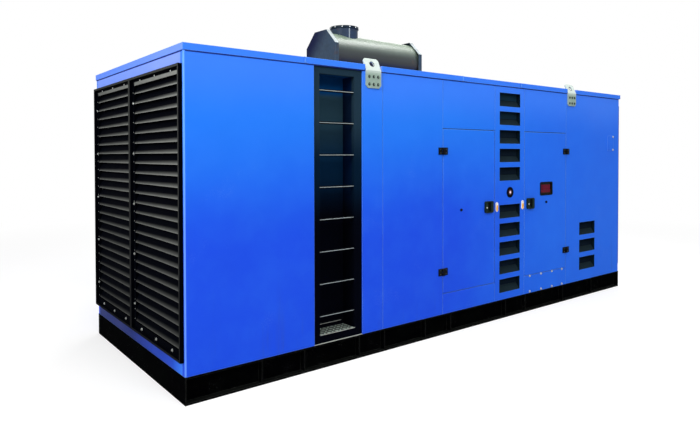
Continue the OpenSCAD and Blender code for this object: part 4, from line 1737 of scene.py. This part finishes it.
@dataclass
class Ladder(Workshop):
    """The ladder recess: its raised tread pattern and its pale steel strips."""

    pitch: float = 0.036
    margin: float = 0.010
    tear_l: float = 0.031
    tear_w: float = 0.012
    tear_h: float = 0.0020
    strip_t: float = 0.0024
    strip_in: float = 0.001
    nose_h: float = 0.0028
    nose_out: float = 0.0025
    nose_up: float = 0.0008
    lip_top: float = 0.040
    lip_t: float = 0.0052
    lip_d: float = 0.008
    lip_share: float = 0.92

    def strip(self, name: str, low: Point, high: Point) -> None:
        """Lays one pale steel strip, rounded along its front edges.

        Args:
            name: Piece name.
            low: Lower corner.
            high: Upper corner.
        """
        work = Bench(name).block(low, high)
        with work.editing():
            work.panel(Side.TOP, self.strip_t * 0.3, 0.0003)
        self.fit(work.soften(self.strip_t * 0.2, 2), "pale_strip_steel", Slot.TREAD)

    def strips(self) -> None:
        """Lays the strips on the ledge, the tread's nose and the lip at the back."""
        rail_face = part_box("skid_rail_front")[0][1]
        low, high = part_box("recess_frame")
        self.strip(
            "recess_ledge_strip",
            (low[0] + self.strip_in, rail_face, low[2]),
            (high[0] - self.strip_in, low[1] - 0.0004, low[2] + self.strip_t),
        )
        low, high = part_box("recess_tread")
        self.strip(
            "tread_nosing",
            (low[0], low[1] - self.nose_out, high[2] - self.nose_h),
            (high[0], low[1], high[2] + self.nose_up),
        )
        lip = low[2] + self.lip_top
        end = low[0] + (high[0] - low[0]) * self.lip_share
        self.strip(
            "recess_lip_strip",
            (low[0], high[1] - self.lip_d, lip),
            (end, high[1] - 0.0005, lip + self.lip_t),
        )

    def tears(self) -> None:
        """Raises the tread's pattern of slanting tears."""
        low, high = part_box("recess_tread")
        tear = Bench("tread_pattern").round((0, 0, self.tear_h * 0.25), 0.5, self.tear_h * 0.5, 8)
        with tear.editing():
            tear.pick(Side.TOP)
            tear.inset(0.16)
            bpy.ops.transform.translate(value=(0, 0, self.tear_h * 0.5))
            bpy.ops.mesh.select_all(action="SELECT")
            bpy.ops.transform.resize(value=(self.tear_l, self.tear_w, 1.0))
        tear.smooth(60)
        length, depth = high[0] - low[0], high[1] - low[1]
        columns = int((length - self.margin) / self.pitch)
        rows = int((depth - self.margin) / self.pitch)
        places = []
        for i in range(columns):
            for j in range(rows):
                x = low[0] + length * (i + 0.5) / columns
                y = low[1] + depth * (j + 0.5) / rows
                angle = 45 if (i + j) % 2 else -45
                places.append(stand((0, 0, 1), (x, y, high[2]), angle))
        self.fit(tear.repeat(places), "tread_tears", Slot.TREAD)

    def build(self) -> None:
        """Adds the pattern and the strips."""
        self.tears()
        self.strips()

    def dress(self) -> None:
        """Paints the recess."""
        self.coat_nodes("recess_coat", "recess_frame")
        self.coat_nodes("recess_lining", "recess_box")
        self.coat_nodes("tread_metal", "recess_tread")
        self.coat_nodes("rung_metal", "ladder_rungs")


@dataclass
class LiftingLugs(Workshop):
    """Bolts and dark eye rims of the four lifting lugs."""

    holes: Sequence[Mapping[str, Sequence[float]]] = ()
    spread: float = 0.050
    rows: tuple[float, float] = (2.429, 2.363)
    thick: float = 0.012
    bolt: Fastener = Fastener(0.0165, 0.009, 0.0135, 0.0025)
    rim_r: float = 0.0272
    rim_w: float = 0.0040
    rim_t: float = 0.0008

    def bolts(self) -> None:
        """Bolts each lug to the wall."""
        places = []
        for out in (-1, 1):
            y = out * (self.shell.half_width + self.thick)
            for x in self.shell.lug_x:
                for row in self.rows:
                    for k in (-1, 0, 1):
                        spot = (x + k * self.spread, y, row)
                        places.append(stand((0, out, 0), spot, 13 * k))
        self.fit(self.bolt.bolt("lug_bolts").repeat(places), "lug_bolt", Slot.LUG)

    def eye_rims(self) -> None:
        """Lays a dark rim round the outer mouth of each lifting hole."""
        rims = Bench("lug_eye_rims").round((0, 0, self.rim_t / 2), self.rim_r, self.rim_t, 32)
        rims.frame(Side.TOP, self.rim_w)
        places = []
        for mount in self.holes:
            axis = Vector(mount["axis"])
            places.append(stand(axis, Vector(mount["pos_m"]) + axis * self.thick / 2))
        self.fit(rims.repeat(places), "eye_rim", Slot.LUG)

    def build(self) -> None:
        """Adds the bolts and the rims."""
        self.bolts()
        self.eye_rims()

    def dress(self) -> None:
        """Paints the lugs."""
        self.coat_nodes("lug_coat", "lifting_lugs")


@dataclass
class Silencer(Workshop):
    """Ring bolts and weld seam of the roof silencer's outlet."""

    bolts: int = 12
    first_bolt: float = 15.0
    bolt_down: float = 0.013
    ring_share: float = 0.996
    ring_out: float = 0.008
    ring_h: float = 0.027
    seam_at: float = 254.0
    seam_half: float = 0.0055
    seam_sunk: float = 0.002
    seam_proud: float = 0.004
    seam_rise: tuple[float, float] = (0.004, 0.118)
    weld: float = 0.0015

    def ring_bolts(self, axis: Vector, ring: float, height: float) -> None:
        """Bolts the outlet's ring.

        Args:
            axis: The outlet's axis on the ground.
            ring: Radius of the ring.
            height: Height of the bolts.
        """
        places = []
        for k in range(self.bolts):
            turn = math.radians(self.first_bolt + 360 * k / self.bolts)
            out = Vector((math.cos(turn), math.sin(turn), 0.0))
            places.append(stand(out, axis + out * ring * self.ring_share + Vector((0, 0, height))))
        heads = Fastener.dome("outlet_ring_bolts", 0.0075, 0.005)
        self.fit(heads.repeat(places), "zinc", Slot.SILENCER)

    def seam(self, axis: Vector, radius: float, foot: float) -> None:
        """Welds the joint strip up the side of the outlet.

        Args:
            axis: The outlet's axis on the ground.
            radius: Radius of its neck.
            foot: Height of its foot.
        """
        start, end = self.seam_rise
        work = Bench("outlet_seam").block(
            (radius - self.seam_sunk, -self.seam_half, foot + start),
            (radius + self.seam_proud, self.seam_half, foot + end),
        )
        with work.editing():
            work.pick(Side.FAR)
            bpy.ops.mesh.subdivide(number_cuts=5)
            work.faces(lambda c, n: n.x > 0.9 and abs(c.y) < 0.002)
            work.pull((self.weld, 0, 0))
        work.soften(0.0007, 2)
        turn = Matrix.Rotation(math.radians(self.seam_at), 4, "Z")
        work.repeat([Matrix.Translation(axis) @ turn])
        self.fit(work, "seam_steel", Slot.SILENCER)

    def build(self) -> None:
        """Adds the small parts."""
        low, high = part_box("silencer_outlet")
        axis = Vector(((low[0] + high[0]) / 2, (low[1] + high[1]) / 2, 0.0))
        ring = (high[0] - low[0]) / 2
        self.ring_bolts(axis, ring, high[2] - self.bolt_down)
        self.seam(axis, ring - self.ring_out, low[2])

    def dress(self) -> None:
        """Paints the silencer."""
        self.coat_nodes("silencer_coat", "silencer_drum")
        self.coat_nodes("outlet_coat", "silencer_outlet")
        self.coat_nodes("silencer_plate_coat", "silencer_end_plates")


@dataclass
class Markers(Workshop):
    """Side markers, the stop button and the bolted covers."""

    panel_bolts: tuple[float, ...] = (1.023, 1.240, 1.455, 1.662)
    panel_rows: tuple[float, float] = (0.390, 0.216)
    cover_in: tuple[float, float] = (0.016, 0.015)
    bolt: Fastener = Fastener(0.016, 0.007, 0.0135, 0.002)
    plate_w: float = 0.042
    lens_at: tuple[float, float] = (0.003, -0.012)
    lens_w: float = 0.029
    lens_h: float = 0.064
    lens_t: float = 0.0030

    def lenses(self) -> None:
        """Puts an amber lens on each white marker plate."""
        low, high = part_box("marker_plates")
        z = (low[2] + high[2]) / 2 + self.lens_at[1]
        places = []
        for x in (low[0] + self.plate_w / 2, high[0] - self.plate_w / 2):
            places.append(Matrix.Translation((x + self.lens_at[0], low[1], z)))
        work = Bench("marker_lenses").round(
            (0, -self.lens_t / 3, 0), 0.5, self.lens_t, 20, (math.pi / 2, 0, 0)
        )
        with work.editing():
            bpy.ops.mesh.select_all(action="SELECT")
            bpy.ops.transform.resize(value=(self.lens_w, 1.0, self.lens_h))
            work.pick(Side.FRONT)
            for crown in (0.0012, 0.0006):
                work.inset(0.004)
                bpy.ops.transform.translate(value=(0, -crown, 0))
        self.fit(work.smooth(60).repeat(places), "amber_lens", Slot.MARKER)

    def panel_fixings(self) -> None:
        """Bolts the sill panel and the cover."""
        face = -self.shell.half_width
        spots = [(x, face, z) for x in self.panel_bolts for z in self.panel_rows]
        low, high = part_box("cover_plate")
        side, rim = self.cover_in
        for z in (low[2] + rim, high[2] - rim):
            spots.append((high[0] - side, low[1], z))
        screws = self.bolt.bolt("panel_bolts")
        screws.repeat(stand((0, -1, 0), p, 9.0 * i) for i, p in enumerate(spots))
        self.fit(screws, "zinc", Slot.CANOPY)

    def build(self) -> None:
        """Adds the small parts."""
        self.lenses()
        self.panel_fixings()

    def dress(self) -> None:
        """Paints the small parts."""
        self.coat_nodes("marker_white", "marker_plates")
        self.coat_nodes("guard_plastic", "stop_button_guard")
        self.coat_nodes("stop_plastic", "stop_button")


# --------------------------------------------------------------------------
# Studio


@dataclass(frozen=True)
class Lamp:
    """A soft lamp that looks at a point; its depth is its size unless given."""

    name: str
    at: Point
    look: Point
    size: float
    power: float
    depth: float | None = None

    def build(self) -> None:
        """Makes the lamp."""
        data = bpy.data.lights.new(self.name, "AREA")
        data.shape = "RECTANGLE"
        data.size = self.size
        data.size_y = self.depth or self.size
        data.energy = self.power
        lamp = bpy.data.objects.new(self.name, data)
        bpy.context.scene.collection.objects.link(lamp)
        lamp.location = self.at
        aim = Vector(self.look) - Vector(self.at)
        lamp.rotation_euler = aim.to_track_quat("-Z", "Y").to_euler()


@dataclass
class Studio:
    """Floor, world, lamps and camera."""

    shop: PaintShop
    eye: Point = (-4.598, -4.958, 1.751)
    yaw: float = 38.22
    pitch: float = -1.055
    roll: float = -0.107
    lens: float = 30.08
    rise: float = -0.0706
    ambient: float = 0.30
    lamps: tuple[Lamp, ...] = (
        Lamp("key", (-2.6, -10.2, 8.5), (0.8, -1.0, 1.6), 6.0, 800.0),
        Lamp("end_fill", (-9.5, -2.6, 5.0), (-3.0, -0.3, 1.5), 3.0, 500.0),
        Lamp("strip", (4.4, -1.6, 10.2), (0.0, 0.0, 2.8), 6.0, 400.0, 2.2),
        Lamp("top", (1.0, 0.0, 10.0), (0.0, 0.0, 2.0), 8.0, 150.0),
        Lamp("back_fill", (6.5, 9.5, 5.5), (1.2, 0.6, 1.2), 6.0, 480.0),
    )

    def floor(self) -> None:
        """Lays the floor."""
        work = Bench("studio_floor").sheet(160.0)
        with work.editing():
            bpy.ops.mesh.select_all(action="SELECT")
            bpy.ops.mesh.subdivide(number_cuts=3)
        self.shop.coat(work.piece, "studio_floor")

    def world(self) -> None:
        """Sets a white surround with plain ambient light."""
        world = bpy.data.worlds.new("surround")
        bpy.context.scene.world = world
        world.use_nodes = True
        g = Graph(world.node_tree)
        seen = g.ray("Camera").higher(g.ray("Glossy")).higher(g.ray("Transmission"))
        level = seen * (1.0 - self.ambient) + self.ambient
        glow = g.signal("ShaderNodeBackground", 0, None, {"Color": WHITE, "Strength": level})
        g.node("ShaderNodeOutputWorld", None, {"Surface": glow})

    def camera(self) -> None:
        """Sets the camera at the reference viewing angle."""
        data = bpy.data.cameras.new("camera")
        data.lens = self.lens
        data.sensor_width = 36.0
        data.sensor_fit = "HORIZONTAL"
        data.shift_y = self.rise
        data.clip_end = 300.0
        camera = bpy.data.objects.new("camera", data)
        bpy.context.scene.collection.objects.link(camera)
        camera.location = self.eye
        turn = (
            Matrix.Rotation(math.radians(-self.yaw), 4, "Z")
            @ Matrix.Rotation(math.radians(90 + self.pitch), 4, "X")
            @ Matrix.Rotation(math.radians(self.roll), 4, "Z")
        )
        camera.rotation_euler = turn.to_euler()
        bpy.context.scene.camera = camera

    def build(self) -> None:
        """Builds the studio."""
        self.floor()
        self.world()
        for lamp in self.lamps:
            lamp.build()
        self.camera()
        bpy.context.scene.view_settings.view_transform = "Standard"


# --------------------------------------------------------------------------
# The finishes of this set


def paints(shell: Shell) -> list[Finish]:
    """The blue paints of the canopy.

    Args:
        shell: The canopy's own sizes.

    Returns:
        The finishes.
    """
    return [
        # edge is a painted highlight along folded edges, bleach a painted reflection on the ends.
        CanopyPaint("canopy_paint", 0.020, shell, edge=0.5),
        CanopyPaint("roof_paint", 0.004, shell, edge=0.75, end_sheen=0.5, specular=0.03, rough=0.55),
        CanopyPaint("end_paint", 0.004, shell, end_sheen=0.68, specular=0.05),
        CanopyPaint("door_paint", 0.0222, shell, fold=0.010, edge=0.6),
    ]


def coats(shell: Shell) -> list[Finish]:
    """The coats of steel parts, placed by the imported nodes' own boxes.

    Args:
        shell: The canopy's own sizes.

    Returns:
        The finishes.
    """
    drum_low, drum_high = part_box("silencer_drum")
    recess = {"dust": paint(60, 68, 68), "dusting": 0.30, "rough": 0.85, "specular": 0.02}
    bolt = LiftingLugs.bolt
    bolt_face = shell.half_width + LiftingLugs.thick + bolt.washer_t + bolt.head
    return [
        CoatedSteel("deck_coat", paint(22, 24, 25), paint(30, 31, 31), dusting=0.4),
        # The skid's pale sharp edges are a painted highlight.
        CoatedSteel(
            "skid_coat", paint(1, 1, 2), paint(3, 4, 4), dust=paint(50, 54, 50),
            dusting=0.14, splash=0.02, rough=0.9, chips=0.5, specular=0.005, edge=0.16,
        ),
        CoatedSteel("trim_coat", paint(9, 10, 14), paint(15, 16, 20), dusting=0.3),
        # The louvres' dust colour is mostly the painted highlight on the blade lips.
        LouvreCoat(
            "louvre_coat", paint(1, 2, 6), paint(2, 3, 8), dust=paint(140, 142, 138),
            dusting=1.0, rough=0.8, specular=0.01,
        ),
        CoatedSteel(
            "vent_coat", paint(8, 22, 30), paint(12, 28, 38), dust=paint(42, 56, 62),
            dusting=0.5, rough=0.8, specular=0.04,
        ),
        CoatedSteel(
            "rain_mat", paint(16, 28, 40), paint(12, 22, 34), dusting=0.05, rough=0.95,
            grain=260.0, relief=0.0012, specular=0.02, bands=((1.9, 2.3, paint(20, 44, 58)),),
        ),
        CoatedSteel(
            "hinge_coat", paint(8, 10, 14), paint(16, 18, 20), dusting=0.25, chips=0.4,
            rough=0.7, specular=0.05,
        ),
        # Recess: the height bands are painted light and shade, darker low down and lighter higher up,
        # with a brighter blue band under the frame head; the lining's jamb colour is painted shade.
        CoatedSteel(
            "recess_coat", paint(1, 2, 9), paint(2, 4, 13), **recess,
            bands=((1.15, 1.60, paint(5, 25, 44)), (1.65, 2.10, paint(31, 51, 65))),
        ),
        CoatedSteel(
            "recess_lining", paint(1, 2, 8), paint(2, 3, 12), **recess, jamb=paint(0, 9, 42),
            bands=(
                (1.20, 1.70, paint(5, 34, 60)), (1.65, 2.10, paint(34, 58, 71)),
                (2.24, 2.29, paint(4, 60, 112)),
            ),
        ),
        # The rungs' dust colour is the colour of their painted highlight.
        RungCoat(
            "rung_metal", paint(3, 4, 6), paint(6, 8, 10), dust=paint(170, 180, 182),
            dusting=1.0, rough=0.6, specular=0.02,
        ),
        # The lugs' light top band and their bright sharp edges are painted highlights.
        CoatedSteel(
            "lug_coat", paint(156, 176, 164), paint(134, 158, 144), dust=paint(214, 220, 210),
            dusting=0.3, rough=0.45, chips=0.3, edge=0.4,
            bands=((2.44, 2.50, paint(204, 218, 212)),),
        ),
        CoatedSteel("eye_rim", paint(12, 16, 26), paint(22, 28, 38), dusting=0.1),
        CappedBolt("lug_bolt", bolt_face),
        # The silencer coats' blooms and edges are dust and painted highlight; their dark undersides
        # and the plate's shade are painted shade.
        SilencerCoat(
            "silencer_coat", (drum_low[2] + drum_high[2]) / 2,
            (drum_high[2] - drum_low[2]) / 2, specular=0.45,
        ),
        SilencerCoat(
            "outlet_coat", middle=2.80, radius=0.30, grey=paint(52, 66, 88),
            warm=paint(44, 56, 76), bloom=paint(86, 104, 114), settles=(0.55, 1.0), specular=0.05,
            collar=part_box("silencer_outlet")[1][2] - Silencer.ring_h,
        ),
        SilencerCoat(
            "silencer_plate_coat", middle=2.70, radius=0.30, grey=paint(64, 80, 90),
            warm=paint(64, 76, 86), bloom=paint(232, 242, 242), settles=(0.15, 0.6),
            edge=0.12, specular=0.06, shade=1.0,
        ),
    ]


def bare_metals() -> list[Finish]:
    """The zinc and bare steel of the small parts.

    Returns:
        The finishes.
    """
    return [
        BrushedSteel("zinc"),
        BrushedSteel("dull_zinc", paint(150, 152, 148), paint(96, 98, 94), 0.45),
        BrushedSteel("dark_bolt", paint(60, 74, 74), paint(36, 42, 44), 0.45),
        BrushedSteel("tread_metal", paint(30, 38, 34), paint(12, 18, 16), 0.5, metal=0.3),
        BrushedSteel("tread_tears", paint(196, 220, 206), paint(96, 116, 106), 0.4, metal=0.2),
        BrushedSteel("pale_strip_steel", paint(188, 192, 184), paint(128, 134, 126), 0.4, metal=0.2),
        BrushedSteel("seam_steel", paint(138, 150, 156), paint(104, 114, 120), 0.4, metal=0.3),
    ]


def mouldings() -> list[Finish]:
    """The rubber, plastic and glass, and the studio's floor.

    Returns:
        The finishes.
    """
    low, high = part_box("stop_button")
    pane_low, pane_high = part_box("window_pane")
    return [
        # The sealant's dark blue also stands in for the shadow line under the roof edge: painted
        # shadow.
        MouldedPart("roof_sealant", paint(20, 42, 130), rough=0.7, specular=0.1),
        MouldedPart("joint_tape", paint(92, 160, 250), rough=0.5, specular=0.1),
        # The filter mats' near-black is painted shade behind the louvre blades.
        MouldedPart("mat_fleece", paint(1, 1, 4), paint(4, 4, 9), 0.95, specular=0.0),
        MouldedPart("seal_rubber", paint(16, 16, 17), rough=0.75, specular=0.1),
        MouldedPart("buffer_rubber", paint(8, 10, 24), rough=0.8, specular=0.1),
        MouldedPart("rim_rubber", paint(10, 14, 10), paint(40, 40, 30), 0.7, specular=0.05),
        MouldedPart("handle_plastic", paint(22, 36, 32), paint(56, 80, 66), 0.6, specular=0.06),
        MouldedPart("grip_plastic", paint(1, 3, 4), paint(12, 18, 17), 0.6, specular=0.03),
        MouldedPart("guard_plastic", paint(2, 3, 10), paint(24, 26, 34), rough=0.6, specular=0.03),
        MouldedPart("fascia_plastic", paint(36, 16, 20), rough=0.6, specular=0.1),
        MouldedPart("screen", paint(24, 30, 26), rough=0.2, specular=0.3),
        MouldedPart("amber_lens", paint(255, 178, 46), paint(255, 214, 120), 0.25, specular=0.3),
        MouldedPart("marker_white", paint(240, 238, 232), paint(210, 206, 198), 0.4, specular=0.3),
        StopCap("stop_plastic", (low[0] + high[0]) / 2, (low[2] + high[2]) / 2),
        WindowGlass("window_glass", tuple(pane_low), tuple(pane_high)),
        StudioFloor("studio_floor"),
    ]


def main() -> None:
    """Builds everything in order."""
    logging.basicConfig(level=logging.INFO, format="%(name)s: %(message)s")
    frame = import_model()
    shell = Shell.measured()
    shop = PaintShop(paints(shell) + coats(shell) + bare_metals() + mouldings())
    shared = (shop, frame["nodes"], shell)
    holes = [m for m in frame["record"]["mounts"] if m["name"].startswith("lifting_hole")]
    for part in (
        Skid(*shared), Canopy(*shared), Louvres(*shared), Vents(*shared), Doors(*shared),
        Ladder(*shared), LiftingLugs(*shared, holes), Silencer(*shared), Markers(*shared),
    ):
        part.build()
        part.dress()
        log.info("%s done", type(part).__name__)
    Studio(shop).build()


if __name__ == "__main__":
    main()
